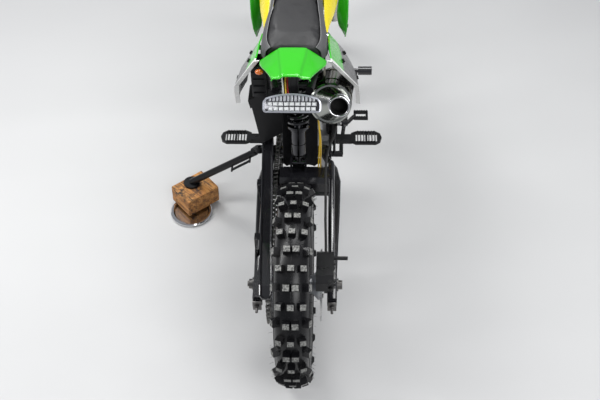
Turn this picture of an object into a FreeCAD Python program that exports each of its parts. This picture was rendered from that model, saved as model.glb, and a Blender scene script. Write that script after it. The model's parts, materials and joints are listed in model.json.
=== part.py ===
import FreeCAD, Part
import math
import os
import Sketcher
from FreeCAD import Placement, Rotation, Vector

# Dirt bike leaning on its side stand, whose foot is on a wood block.
# Bike frame: X right, Y forward, Z up, millimetres, origin under the rear axle
# on the tyre's crown. Every sub-part is drawn upright there and then leaned
# and moved by one placement, so the floor is the plane Z = 0.

# Driving dimensions: alias, value, meaning.
SIZES = [
    # Wheels and stance
    ("wheelbase", 1230, "rear axle to front axle"),
    ("lean", 2.5, "lean to the left on the stand, degrees"),
    ("rear_radius", 268, "rear tyre over its lugs"),
    ("rear_width", 51, "rear tyre half width over the shoulder lugs"),
    ("rear_crown", 20.6, "half width of the flat of the rear crown"),
    ("rear_bead", 178, "rear rim bead seat radius"),
    ("rear_rim_half", 33, "rear rim half width"),
    ("front_radius", 288, "front tyre over its lugs"),
    ("front_width", 41, "front tyre half width over the shoulder lugs"),
    ("front_crown", 16.5, "half width of the flat of the front crown"),
    ("front_bead", 216, "front rim bead seat radius"),
    ("front_rim_half", 26, "front rim half width"),
    ("rim_lip", 13, "rim flange height over the bead seat"),
    ("rim_wall", 3, "rim flange thickness"),
    ("rim_well", 12, "depth of the rim's middle well"),
    ("fit_gap", 0.3, "gap between pieces that seat on each other"),
    ("run_gap", 0.06, "radial running clearance of a shaft in its bore"),
    ("axle_radius", 7.5, "both wheel axles"),
    ("axle_bore", 4.5, "bore through both wheel axles"),
    ("spoke_radius", 2, "spoke"),
    # Rear hub, sprocket and brake
    ("rear_hub_radius", 24, "rear hub barrel"),
    ("rear_flange", 46, "rear spoke flange radius"),
    ("rear_flange_x", 30, "rear spoke flange offset"),
    ("hub_left", 78, "rear hub's left face"),
    ("hub_right", 74, "rear hub's right face"),
    ("chain_x", 64.5, "chain line left of the middle"),
    ("sprocket_radius", 99, "rear sprocket pitch radius"),
    ("sprocket_thick", 6, "rear sprocket"),
    ("drive_radius", 28, "front sprocket pitch radius"),
    ("drive_y", 506, "front sprocket shaft, forward of the rear axle"),
    ("drive_z", 335, "front sprocket shaft height"),
    ("chain_half", 6.5, "half height of a chain plate"),
    ("chain_wide", 15, "chain width over its pins"),
    ("rear_disc_x", 68, "rear brake disc offset to the right"),
    ("rear_disc_radius", 95, "rear brake disc"),
    ("disc_thick", 4, "brake discs"),
    # Swingarm
    ("pivot_y", 445, "swingarm pivot, forward of the rear axle"),
    ("pivot_z", 332, "swingarm pivot height"),
    ("pivot_tube", 18, "swingarm pivot tube radius"),
    ("pivot_half", 82, "swingarm pivot tube half length"),
    ("arm_inner", 84, "inner face of the arms at the axle"),
    ("arm_wide", 25, "width of an arm tube"),
    ("slot_half", 22, "half length of the axle slot"),
    ("bridge_gap", 14, "rear tyre to the swingarm's bridge"),
    ("bridge_deep", 64, "swingarm's bridge, front to back"),
    ("bridge_low", 318, "underside of the bridge"),
    ("bridge_top", 375, "top of the bridge"),
    ("brace_radius", 9, "upper brace tube of the swingarm"),
    # Frame
    ("plate_inner", 83, "inner face of the frame's pivot plates"),
    ("plate_thick", 8, "frame pivot plate"),
    ("spine_half", 22, "half width of the backbone"),
    ("spine_rise", 50, "height of the backbone"),
    ("spine_back_y", 430, "rear end of the backbone"),
    ("spine_back_z", 731, "height of the backbone's middle at its rear end"),
    ("head_radius", 27, "steering head tube"),
    ("stem_radius", 13, "steering stem"),
    ("rake", 27, "steering axis from upright, degrees"),
    ("fork_lead", 45, "fork legs in front of the steering axis"),
    ("crown_low", 504, "underside of the lower fork crown, along the axis"),
    ("crown_thick", 32, "lower fork crown"),
    ("head_length", 108, "steering head tube length"),
    ("head_gap", 1, "gap between head tube and crowns"),
    ("bridge_thick", 22, "upper fork crown"),
    ("down_radius", 18, "front down tube"),
    ("cradle_radius", 12, "cradle tubes"),
    ("cradle_x", 70, "cradle tube offset"),
    ("cradle_z", 222, "cradle tube height"),
    ("spar_radius", 12, "upright frame tubes behind the engine"),
    ("rail_radius", 9, "seat rails and struts"),
    ("rail_x", 60, "seat rail offset"),
    # Shock
    ("shock_ahead", 48, "lower shock eye, forward of the bridge's rear face"),
    ("shock_over", 20, "lower shock eye over the bridge"),
    ("shock_top_y", 427.7, "upper shock eye, forward of the rear axle"),
    ("shock_drop", 52.3, "upper shock eye under the backbone's middle line"),
    ("shock_body", 20, "shock body radius"),
    ("spring_radius", 26, "spring, to the middle of the wire"),
    ("wire_radius", 4.5, "spring wire"),
    # Engine
    ("case_back", 488, "rear of the crankcase"),
    ("case_front", 742, "front of the crankcase"),
    ("case_low", 238, "underside of the crankcase"),
    ("case_top", 420, "top of the crankcase"),
    ("case_left", 50, "crankcase half width on the chain side"),
    ("case_right", 62, "crankcase half width on the clutch side"),
    ("barrel_y", 622, "foot of the cylinder"),
    ("barrel_tilt", 12, "cylinder lean forward, degrees"),
    ("barrel_half", 46, "half width of the cylinder's core"),
    ("barrel_rise", 96, "cylinder barrel height"),
    ("head_rise", 92, "cylinder head height"),
    ("fin_reach", 16, "cooling fin reach past the core"),
    ("fin_thick", 3, "cooling fin"),
    # Exhaust
    ("header_radius", 17, "exhaust header"),
    ("can_radius", 52, "silencer can"),
    ("can_front_x", 96, "silencer can's front end, right of the middle"),
    ("can_front_y", 455, "silencer can's front end"),
    ("can_front_z", 571, "silencer can's front end height"),
    ("can_back_x", 88, "silencer can's rear end"),
    ("can_back_y", 275, "silencer can's rear end"),
    ("can_back_z", 655, "silencer can's rear end height"),
    ("tip_radius", 25, "silencer tip"),
    ("cone_length", 34, "silencer cone"),
    ("tip_length", 28, "silencer tip behind the cone"),
    ("tip_offset", 24, "silencer tip, right of the can's middle line"),
    ("tip_lift", 10, "silencer tip, above the can's middle line"),
    # Plastics and seat
    ("skin", 3.5, "thickness of the plastic panels"),
    ("tank_half", 92, "tank half width"),
    # Controls
    ("bar_radius", 11, "handlebar tube"),
    ("bar_bore", 8, "bore in the handlebar's ends"),
    ("bar_bore_depth", 40, "depth of the bore in the handlebar's ends"),
    ("bar_half", 375, "half width of the handlebar"),
    ("bar_straight", 179, "straight run of the handlebar under grip and levers"),
    ("bar_rise", 118, "rise of the grips over the bar clamp"),
    ("bar_sweep", 72, "sweep of the grips behind the bar clamp"),
    ("grip_radius", 16.5, "grips"),
    ("grip_length", 118, "grips"),
    ("fork_x", 95, "fork leg offset"),
    ("fork_lower", 20, "fork lower tube radius"),
    ("fork_upper", 25.5, "fork upper tube radius"),
    ("fork_overlap", 318, "lower end of the upper tubes, along the axis"),
    ("front_disc_x", 60, "front brake disc offset to the left"),
    ("front_disc_radius", 110, "front brake disc"),
    ("peg_y", 492, "foot pegs, forward of the rear axle"),
    ("peg_z", 340, "underside of the foot pegs"),
    ("peg_inner", 148, "inner end of a foot peg"),
    ("peg_outer", 239, "outer end of a foot peg"),
    ("peg_wide", 52, "foot peg front to back"),
    ("peg_rise", 12, "foot peg height"),
    # Stand, block and disc
    ("stand_x", 128, "stand pivot, left of the middle"),
    ("stand_y", 500, "stand pivot"),
    ("stand_z", 290, "stand pivot height"),
    ("foot_x", 363, "stand foot, left of the middle"),
    ("foot_y", 549, "stand foot"),
    ("foot_z", 90, "underside of the stand foot"),
    ("leg_radius", 11, "stand leg"),
    ("foot_radius", 26, "stand foot"),
    ("foot_thick", 7, "stand foot"),
    ("block_long", 119, "wood block"),
    ("block_wide", 96, "wood block"),
    ("block_turn", 42, "turn of the block on the floor, degrees"),
    ("tray_radius", 67, "round dish under the block"),
    ("tray_thick", 12, "round dish under the block"),
    ("block_x", 355, "middle of the block, left of the tyre line"),
    ("block_y", 536, "middle of the block, forward of the rear axle"),
    ("tray_x", 365, "middle of the dish, left of the tyre line"),
    ("tray_y", 490, "middle of the dish, forward of the rear axle"),
]


class Size:
    """A sheet value with the formula that gives it, so sums stay bound."""

    def __init__(self, value, formula):
        self.value = float(value)
        self.formula = formula

    def __float__(self):
        return self.value

    def __add__(self, other):
        return joined(self, "+", other, self.value + float(other))

    def __radd__(self, other):
        return joined(other, "+", self, float(other) + self.value)

    def __sub__(self, other):
        return joined(self, "-", other, self.value - float(other))

    def __rsub__(self, other):
        return joined(other, "-", self, float(other) - self.value)

    def __mul__(self, other):
        return joined(self, "*", other, self.value * float(other))

    def __rmul__(self, other):
        return joined(other, "*", self, float(other) * self.value)

    def __truediv__(self, other):
        return joined(self, "/", other, self.value / float(other))

    def __neg__(self):
        return joined(0, "-", self, -self.value)


def formula_of(item):
    return item.formula if isinstance(item, Size) else repr(float(item))


def joined(left, sign, right, value):
    return Size(value, f"({formula_of(left)} {sign} {formula_of(right)})")


def number(item):
    return float(item)


def point(x, y, z):
    return Vector(number(x), number(y), number(z))


doc = FreeCAD.newDocument("DirtBike")
sheet = doc.addObject("Spreadsheet::Sheet", "Sizes")


class Sheet:
    """The driving dimensions by name."""


s = Sheet()
for row, (alias, value, meaning) in enumerate(SIZES, start=1):
    sheet.set(f"A{row}", str(value))
    sheet.setAlias(f"A{row}", alias)
    sheet.set(f"B{row}", meaning)
    setattr(s, alias, Size(value, f"Sizes.{alias}"))
doc.recompute()

LEAN_ANGLE = math.radians(number(s.lean))
UP = Vector(math.sin(LEAN_ANGLE), 0, math.cos(LEAN_ANGLE))
parts = {}


def bind(target, name, size):
    """Set a property, and tie it to the sheet if it comes from there."""
    if isinstance(size, Size):
        target.setExpression(name, size.formula)
    else:
        setattr(target, name, size)


def keep(name, made):
    """Name a finished sub-part."""
    made.Label = name
    parts[name] = made
    return made


def draw(body, role, offset, outline, name="Outline"):
    """Closed polygon on an origin plane; its corners are tied to the sheet."""
    sketch = body.newObject("Sketcher::SketchObject", name)
    planes = [plane for plane in body.Origin.OriginFeatures if plane.Role == role]
    sketch.AttachmentSupport = [(planes[0], "")]
    sketch.MapMode = "FlatFace"
    sketch.AttachmentOffset = Placement(Vector(0, 0, number(offset)), Rotation())
    if isinstance(offset, Size):
        sketch.setExpression("AttachmentOffset.Base.z", offset.formula)
    add_loop(sketch, outline)
    return sketch


def add_loop(sketch, outline):
    first = sketch.GeometryCount
    corners = [Vector(number(u), number(v), 0) for u, v in outline]
    count = len(corners)
    for index, corner in enumerate(corners):
        follow = corners[(index + 1) % count]
        sketch.addGeometry(Part.LineSegment(corner, follow), False)
    for index in range(count):
        here = first + index
        after = first + (index + 1) % count
        sketch.addConstraint(Sketcher.Constraint("Coincident", here, 2, after, 1))
    for index, (u, v) in enumerate(outline):
        for kind, size in (("DistanceX", u), ("DistanceY", v)):
            rule = Sketcher.Constraint(kind, -1, 1, first + index, 1, number(size))
            added = sketch.addConstraint(rule)
            if isinstance(size, Size):
                sketch.setExpression(f"Constraints[{added}]", size.formula)


def new_body(name):
    return doc.addObject("PartDesign::Body", name)


def pad(body, sketch, length, name="Pad"):
    feature = body.newObject("PartDesign::Pad", name)
    feature.Profile = sketch
    bind(feature, "Length", length)
    return feature


def plate(name, role, start, thick, outline):
    """Prism of one outline, from an origin plane's offset."""
    body = new_body(name)
    pad(body, draw(body, role, start, outline), thick)
    return body


def turned(name, outline, start, toward):
    """Solid of revolution; outline is (radius, along) from start toward a point."""
    body = new_body(name)
    sketch = draw(body, "XZ_Plane", 0, outline)
    spin = body.newObject("PartDesign::Revolution", "Turn")
    spin.Profile = sketch
    spin.ReferenceAxis = (sketch, ["V_Axis"])
    spin.Angle = 360
    body.Placement = Placement(start, Rotation(Vector(0, 0, 1), toward.sub(start)))
    return body


def fused(name, members):
    union = doc.addObject("Part::MultiFuse", name)
    union.Shapes = members
    return union


def cut(name, base, tool):
    result = doc.addObject("Part::Cut", name)
    result.Base = base
    result.Tool = tool
    return result


def set_place(target, x, y, z, turn=None):
    target.Placement = Placement(point(x, y, z), turn or Rotation())
    for axis, size in (("x", x), ("y", y), ("z", z)):
        if isinstance(size, Size):
            target.setExpression(f"Placement.Base.{axis}", size.formula)


def rod(name, radius, length, x, y, z, turn=None):
    """Cylinder primitive from a point, along +Z unless turned."""
    cylinder = doc.addObject("Part::Cylinder", name)
    bind(cylinder, "Radius", radius)
    bind(cylinder, "Height", length)
    set_place(cylinder, x, y, z, turn)
    return cylinder


ALONG_X = Rotation(Vector(0, 1, 0), 90)


def shaped(name, shape):
    """Sub-part whose shape is worked out here from the sheet's sizes."""
    feature = doc.addObject("Part::Feature", name)
    feature.Shape = shape
    return feature


def route(points, bend):
    """Straight runs joined by tangent arcs of one bend radius."""
    edges = []
    start = points[0]
    for before, corner, after in zip(points, points[1:], points[2:]):
        incoming = before.sub(corner).normalize()
        outgoing = after.sub(corner).normalize()
        turn = math.pi - incoming.getAngle(outgoing)
        reach = bend * math.tan(turn / 2)
        half = incoming.add(outgoing).normalize()
        centre_far = bend / math.cos(turn / 2)
        first = corner.add(incoming * reach)
        last = corner.add(outgoing * reach)
        middle = corner.add(half * (centre_far - bend))
        edges.append(Part.LineSegment(start, first).toShape())
        edges.append(Part.Arc(first, middle, last).toShape())
        start = last
    edges.append(Part.LineSegment(start, points[-1]).toShape())
    return Part.Wire(edges)


def tube(points, radius, bend=30):
    """Round bar along a bent route."""
    path = route(points, bend)
    ring = Part.Circle(points[0], points[1].sub(points[0]), number(radius))
    return path.makePipeShell([Part.Wire([ring.toShape()])], True, False)


def polygon(points):
    return Part.makePolygon(list(points) + [points[0]])


def lofted(wires):
    """Solid with straight sides between outlines."""
    solid = Part.makeLoft(wires, True, True)
    if solid.Volume < 0:
        solid.reverse()
    return solid


def closed(faces):
    """Solid from the flat faces of its whole outside."""
    solid = Part.Solid(Part.Shell(faces))
    if solid.Volume < 0:
        solid.reverse()
    return solid


def frustum(near, far):
    """Flat-sided block between two like outlines."""
    faces = [Part.Face(polygon(near)), Part.Face(polygon(far))]
    for index in range(len(near)):
        after = (index + 1) % len(near)
        faces.append(Part.Face(polygon([near[index], near[after], far[after], far[index]])))
    return closed(faces)


def facet_ring(profile, steps):
    """Ring of flat facets about the X axis; profile is (radius, x) at their middles."""
    stretch = 1 / math.cos(math.pi / steps)
    rings = []
    for index in range(steps):
        turn = 2 * math.pi * (index + 0.5) / steps
        rings.append([Vector(x, radius * stretch * math.sin(turn), radius * stretch * math.cos(turn))
                      for radius, x in profile])
    faces = []
    for near, far in zip(rings, rings[1:] + rings[:1]):
        for index in range(len(profile)):
            after = (index + 1) % len(profile)
            faces.append(Part.Face(polygon([near[index], near[after], far[after], far[index]])))
    return closed(faces)


def swept(points, ring):
    """Flat-sided bar with mitred corners along straight runs, from its first outline."""
    rings = [ring]
    for index in range(1, len(points)):
        step = points[index].sub(points[index - 1]).normalize()
        normal = step
        if index + 1 < len(points):
            normal = step.add(points[index + 1].sub(points[index]).normalize())
        rings.append([corner.add(step * (points[index].sub(corner).dot(normal) / step.dot(normal)))
                      for corner in rings[-1]])
    faces = [Part.Face(polygon(rings[0])), Part.Face(polygon(rings[-1]))]
    for near, far in zip(rings, rings[1:]):
        for index in range(len(ring)):
            after = (index + 1) % len(ring)
            faces.append(Part.Face(polygon([near[index], near[after], far[after], far[index]])))
    return closed(faces)


def around(middle, axis, radius, count):
    """Corners of a regular outline about a point, square to an axis."""
    spin = Rotation(Vector(0, 0, 1), axis)
    return [middle.add(spin.multVec(Vector(radius * math.cos(2 * math.pi * index / count),
                                           radius * math.sin(2 * math.pi * index / count), 0)))
            for index in range(count)]


def between(rows, y, column):
    """Value of a station table's column at one y."""
    for near, far in zip(rows, rows[1:]):
        if near[0] <= y <= far[0]:
            share = (y - near[0]) / (far[0] - near[0])
            return number(near[column]) + share * (number(far[column]) - number(near[column]))
    raise ValueError(f"no station at {y}")


def saw(start, end, base, top, pitch):
    """Outline of a bar with teeth along its upper edge, as (along, up)."""
    count = max(1, round((end - start) / pitch))
    step = (end - start) / count
    teeth = []
    for index in range(count):
        teeth += [(end - index * step, top - 2.5), (end - (index + 0.5) * step, top)]
    return [(start, base), (end, base)] + teeth + [(start, top - 2.5)]


def mirrored(points, side):
    return [Vector(corner.x * side, corner.y, corner.z) for corner in points]


SIDES = (("left", -1), ("right", 1))


# Steering frame: local X right, local Y forward of the axis, local Z up the axis.
RAKE = math.radians(number(s.rake))
STEER_UP = Vector(0, -math.sin(RAKE), math.cos(RAKE))
STEER_AHEAD = Vector(0, math.cos(RAKE), math.sin(RAKE))
FRONT_AXLE = point(0, s.wheelbase, s.front_radius)
STEER_FOOT = FRONT_AXLE.sub(STEER_AHEAD * number(s.fork_lead))
STEER = Placement(STEER_FOOT, Rotation(Vector(1, 0, 0), STEER_AHEAD, STEER_UP))
REAR_AXLE = point(0, 0, s.rear_radius)


def steer_point(x, ahead, up):
    return STEER.multVec(point(x, ahead, up))


# Wheels

# Tyre lugs, for a tyre 51 mm wide each side whose wall is 90 mm high: x, fall below
# the tyre's radius, lean outward in degrees, width, length and depth. Stations with
# a pair on the crown take turns with stations of three.
LUG_HALF = 51
LUG_WALL = 90
LUG_TAPER = 0.87
LUG_ROWS = (
    ((10.4, 0, 0, 18.6, 18, 16), (47.5, 28, 62, 17, 20, 20)),
    ((0, 0, 0, 18.6, 17, 16), (33.6, 3.4, 17, 15, 17, 16)),
)
# Carcass, for the same tyre: depth below the tyre's radius, half width
CARCASS = ((44, 44), (19.5, 38.5))
CARCASS_TOP = 14


def lug(wide, long, deep):
    """Tapered block whose outer face is at Z = 0."""
    outlines = []
    for share, level in ((1, -deep), (LUG_TAPER, 0)):
        x, y = wide / 2 * share, long / 2 * share
        outlines.append([Vector(-x, -y, level), Vector(x, -y, level),
                         Vector(x, y, level), Vector(-x, y, level)])
    return frustum(*outlines)


def tyre(name, radius, half, crown, bead, rim_half, axle, pairs):
    """Faceted carcass with its lugs; it sits on the bead seats between the flanges."""
    wide = number(half) / LUG_HALF
    high = number(radius - bead) / LUG_WALL
    top = number(radius)
    foot = number(rim_half - s.rim_wall - s.fit_gap)
    side = [(number(bead + s.fit_gap), foot), (number(bead + s.rim_lip + s.fit_gap), foot)]
    side += [(top - fall * high, x * wide) for fall, x in CARCASS]
    side.append((top - CARCASS_TOP * high, number(crown)))
    profile = [(r, -x) for r, x in side] + [(r, x) for r, x in reversed(side)]
    steps = 2 * pairs
    lugs = []
    for index in range(steps):
        turn = Placement(Vector(), Rotation(Vector(1, 0, 0), 360 * index / steps))
        for x, fall, lean, width, length, depth in LUG_ROWS[index % 2]:
            for sign in (1, -1) if x else (1,):
                made = lug(width * wide, length, depth * high)
                seat_at = Vector(sign * x * wide, 0, top - fall * high)
                made.Placement = turn.multiply(Placement(seat_at, Rotation(Vector(0, 1, 0),
                                                                           sign * lean)))
                lugs.append(made)
    shape = facet_ring(profile, steps).multiFuse(lugs)
    shape.translate(axle)
    return keep(name, shaped(name, shape))


def rim(name, half, bead, axle):
    """Rim ring with flanges, bead seats and a middle well."""
    side = [
        (bead + s.rim_lip, half),
        (bead + s.rim_lip, half - s.rim_wall),
        (bead, half - s.rim_wall),
        (bead, half * 0.5),
        (bead - s.rim_well, half * 0.36),
    ]
    inner = [
        (bead - s.rim_well - s.rim_wall, half * 0.4),
        (bead - s.rim_wall, half * 0.62),
        (bead - s.rim_wall, half),
    ]
    outline = [(r, -x) for r, x in side] + [(r, x) for r, x in reversed(side)]
    outline += [(r, x) for r, x in reversed(inner)] + [(r, -x) for r, x in inner]
    return keep(name, turned(name, outline, axle, axle.add(Vector(1, 0, 0))))


def rear_hub():
    barrel = s.rear_hub_radius
    bore = s.axle_radius + s.run_gap
    flange = s.rear_flange
    outline = [
        (bore, -s.hub_left), (barrel - 4, -s.hub_left),
        (barrel - 4, -(s.chain_x + s.sprocket_thick / 2) - s.fit_gap),
        (barrel + 6, -(s.chain_x + s.sprocket_thick / 2) - s.fit_gap),
        (barrel + 6, -(s.chain_x - s.sprocket_thick / 2) + s.fit_gap),
        (flange + 6, -(s.chain_x - s.sprocket_thick / 2) + s.fit_gap),
        (flange + 6, -(s.chain_x - s.sprocket_thick / 2) + 6),
        (barrel, -(s.rear_flange_x + 12)),
        (barrel, -(s.rear_flange_x + 3)), (flange, -(s.rear_flange_x + 3)),
        (flange, -(s.rear_flange_x - 3)), (barrel, -(s.rear_flange_x - 3)),
        (barrel, s.rear_flange_x - 3), (flange, s.rear_flange_x - 3),
        (flange, s.rear_flange_x + 3), (barrel, s.rear_flange_x + 3),
        (barrel, s.rear_flange_x + 14),
        (flange - 6, s.rear_disc_x - s.disc_thick / 2 - 6),
        (flange - 6, s.rear_disc_x - s.disc_thick / 2 - s.fit_gap),
        (barrel - 4, s.rear_disc_x - s.disc_thick / 2 - s.fit_gap),
        (barrel - 4, s.hub_right), (bore, s.hub_right),
    ]
    return turned("rear_hub_turned", outline, REAR_AXLE, REAR_AXLE.add(Vector(1, 0, 0)))


def front_hub():
    barrel = 20
    bore = s.axle_radius + s.run_gap
    flange = 34
    outline = [
        (bore, -66), (barrel - 4, -66),
        (barrel - 4, -(s.front_disc_x + s.disc_thick / 2) - s.fit_gap),
        (barrel, -(s.front_disc_x + s.disc_thick / 2) - s.fit_gap),
        (barrel, -(s.front_disc_x - s.disc_thick / 2) + s.fit_gap),
        (flange, -(s.front_disc_x - s.disc_thick / 2) + s.fit_gap),
        (flange, -(s.front_disc_x - s.disc_thick / 2) + 5),
        (barrel, -40), (barrel, -33), (flange, -33), (flange, -27), (barrel, -27),
        (barrel, 27), (flange, 27), (flange, 33), (barrel, 33),
        (barrel - 4, 66), (bore, 66),
    ]
    return turned("front_hub_turned", outline, FRONT_AXLE, FRONT_AXLE.add(Vector(1, 0, 0)))


def spokes(axle, flange_radius, flange_x, reach, count):
    """Crossed spokes, hexagonal, from both flanges to the middle of the rim."""
    bars = []
    for index in range(count):
        side = -1 if index % 2 else 1
        cross = 1 if index % 4 < 2 else -1
        angle = 2 * math.pi * index / count
        foot_angle = angle + cross * math.radians(46)
        foot = axle.add(Vector(side * flange_x, flange_radius * math.cos(foot_angle),
                               flange_radius * math.sin(foot_angle)))
        tip = axle.add(Vector(side * 4, reach * math.cos(angle), reach * math.sin(angle)))
        along = tip.sub(foot)
        ring = around(foot, along, number(s.spoke_radius), 6)
        bars.append(Part.Face(polygon(ring)).extrude(along))
    return bars


def wheel_hub(name, barrel, bars):
    doc.recompute()
    shape = barrel.Shape.multiFuse(bars)
    return keep(name, shaped(name, shape))


def brake_disc(name, axle, offset, radius, inner, arm_radius, bolt_radius):
    """Braking ring joined to its carrier ring by six arms."""
    flat = Vector(1, 0, 0)
    start = axle.add(Vector(number(offset) - number(s.disc_thick) / 2, 0, 0))

    def band(outer, hole):
        big = Part.makeCylinder(outer, number(s.disc_thick), start, flat)
        return big.cut(Part.makeCylinder(hole, number(s.disc_thick), start, flat))

    ring = band(radius, inner)
    carrier = band(arm_radius, bolt_radius)
    arms = []
    for index in range(6):
        arm = Part.makeBox(number(s.disc_thick), 9, inner - arm_radius + 6,
                           Vector(0, -4.5, arm_radius - 3))
        arm.Placement = Placement(start, Rotation(flat, 60 * index)).multiply(arm.Placement)
        arms.append(arm)
    return keep(name, shaped(name, ring.multiFuse([carrier] + arms).removeSplitter()))


SPROCKET_TEETH = 39


def rear_sprocket():
    """Toothed ring with six windows between its spokes."""
    start = REAR_AXLE.add(point(-(s.chain_x + s.sprocket_thick / 2), 0, 0))
    flat = Vector(1, 0, 0)
    thick = number(s.sprocket_thick)
    tip = number(s.sprocket_radius - s.chain_half) - 1.2
    root = tip - 5.5
    # Corners of one tooth: share of the pitch from its middle, radius
    tooth = ((-0.34, root), (-0.13, tip), (0.13, tip), (0.34, root))
    pitch = 2 * math.pi / SPROCKET_TEETH
    line = [start.add(Vector(0, radius * math.cos((index + share) * pitch),
                             radius * math.sin((index + share) * pitch)))
            for index in range(SPROCKET_TEETH) for share, radius in tooth]
    blank = Part.Face(polygon(line)).extrude(flat * thick)
    bore = Part.makeCylinder(number(s.rear_hub_radius) + 6.3, thick, start, flat)
    windows = []
    for index in range(6):
        hole = Part.makeCylinder(12, thick, Vector(0, 0, 0), flat)
        hole.translate(start.add(Vector(0, 68 * math.cos(math.pi / 3 * index),
                                        68 * math.sin(math.pi / 3 * index))))
        windows.append(hole)
    return keep("rear_sprocket", shaped("rear_sprocket", blank.cut([bore] + windows)))


def wheels():
    across = (
        ("rear", s.rear_radius, s.rear_width, s.rear_crown, s.rear_bead, s.rear_rim_half,
         REAR_AXLE, 18),
        ("front", s.front_radius, s.front_width, s.front_crown, s.front_bead,
         s.front_rim_half, FRONT_AXLE, 16),
    )
    for name, radius, half, crown, bead, rim_half, axle, pairs in across:
        tyre(f"{name}_tyre", radius, half, crown, bead, rim_half, axle, pairs)
        rim(f"{name}_rim", rim_half, bead, axle)
    rear_reach = number(s.rear_bead - s.rim_well - s.rim_wall) - 0.5
    rear_bars = spokes(REAR_AXLE, number(s.rear_flange) - 5, number(s.rear_flange_x),
                       rear_reach, 32)
    wheel_hub("rear_hub", rear_hub(), rear_bars)
    front_reach = number(s.front_bead - s.rim_well - s.rim_wall) - 0.5
    wheel_hub("front_hub", front_hub(), spokes(FRONT_AXLE, 29, 30, front_reach, 32))
    rear_sprocket()
    brake_disc("rear_disc", REAR_AXLE, s.rear_disc_x, number(s.rear_disc_radius), 72, 36, 20.6)
    brake_disc("front_disc", FRONT_AXLE, -s.front_disc_x, number(s.front_disc_radius), 84, 34, 20.6)


# Final drive

CHAIN_PITCH = 15.875
CHAIN_WAIST = 1.7


def chain():
    """Chain loop round both sprockets; every link's plates are waisted between pins."""
    big = number(s.sprocket_radius)
    small = number(s.drive_radius)
    axle = REAR_AXLE
    shaft = point(0, s.drive_y, s.drive_z)
    span = shaft.sub(axle)
    tilt = math.atan2(span.z, span.y)
    spread = math.acos((big - small) / span.Length)
    top, low = tilt + spread, tilt - spread
    back = big * (2 * math.pi - 2 * spread)
    run = span.Length * math.sin(spread)
    nose = small * 2 * spread

    def off(centre, radius, angle):
        return centre.add(Vector(0, radius * math.cos(angle), radius * math.sin(angle)))

    def loop_point(along, extra):
        """Point of the loop by the length along it, moved outward."""
        if along <= back:
            return off(axle, big + extra, top + along / big)
        if along <= back + run:
            share = (along - back) / run
            return off(axle, big + extra, low) * (1 - share) + off(shaft, small + extra, low) * share
        if along <= back + run + nose:
            return off(shaft, small + extra, low + (along - back - run) / small)
        share = (along - back - run - nose) / run
        return off(shaft, small + extra, top) * (1 - share) + off(axle, big + extra, top) * share

    half = number(s.chain_half)
    total = back + nose + 2 * run
    pins = round(total / CHAIN_PITCH)
    outer = [loop_point(total * index / (2 * pins), half - CHAIN_WAIST * (index % 2))
             for index in range(2 * pins)]
    inner = [loop_point(back * index / 18, -half) for index in range(19)]
    inner += [loop_point(back + run + nose * index / 7, -half) for index in range(8)]
    wide = number(s.chain_wide)
    face = Part.Face(polygon(outer)).cut(Part.Face(polygon(inner)))
    face.translate(Vector(-number(s.chain_x) - wide / 2, 0, 0))
    return keep("chain", shaped("chain", face.extrude(Vector(wide, 0, 0))))


# Swingarm and what it carries

# Swingarm stations: y, inner x, outer x, half height about the arm's middle line
ARM = [
    (-58, s.arm_inner, s.arm_inner + s.arm_wide, 18),
    (20, s.arm_inner, s.arm_inner + s.arm_wide, 24),
    (217, s.arm_inner + 5, s.arm_inner + 32, 22),
    (320, s.arm_inner + 6, s.arm_inner + 34, 24),
    (368, s.arm_inner - 2, s.arm_inner + 24, 23.5),
    (416, 60, s.pivot_half - 0.5, 20),
    (number(s.pivot_y) + 8, 60, s.pivot_half - 0.5, 17),
]
ARM_BEVEL = 4
BRIDGE_BACK = number(s.rear_radius + s.bridge_gap)
BRIDGE_FRONT = BRIDGE_BACK + number(s.bridge_deep)
SHOCK_FOOT = Vector(0, BRIDGE_BACK + number(s.shock_ahead), number(s.bridge_top + s.shock_over))


def arm_z(y):
    """Height of the arms' middle line: level at the axle, then up to the pivot."""
    share = max(y, 0) / number(s.pivot_y)
    return REAR_AXLE.z + (number(s.pivot_z) - REAR_AXLE.z) * share


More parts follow.
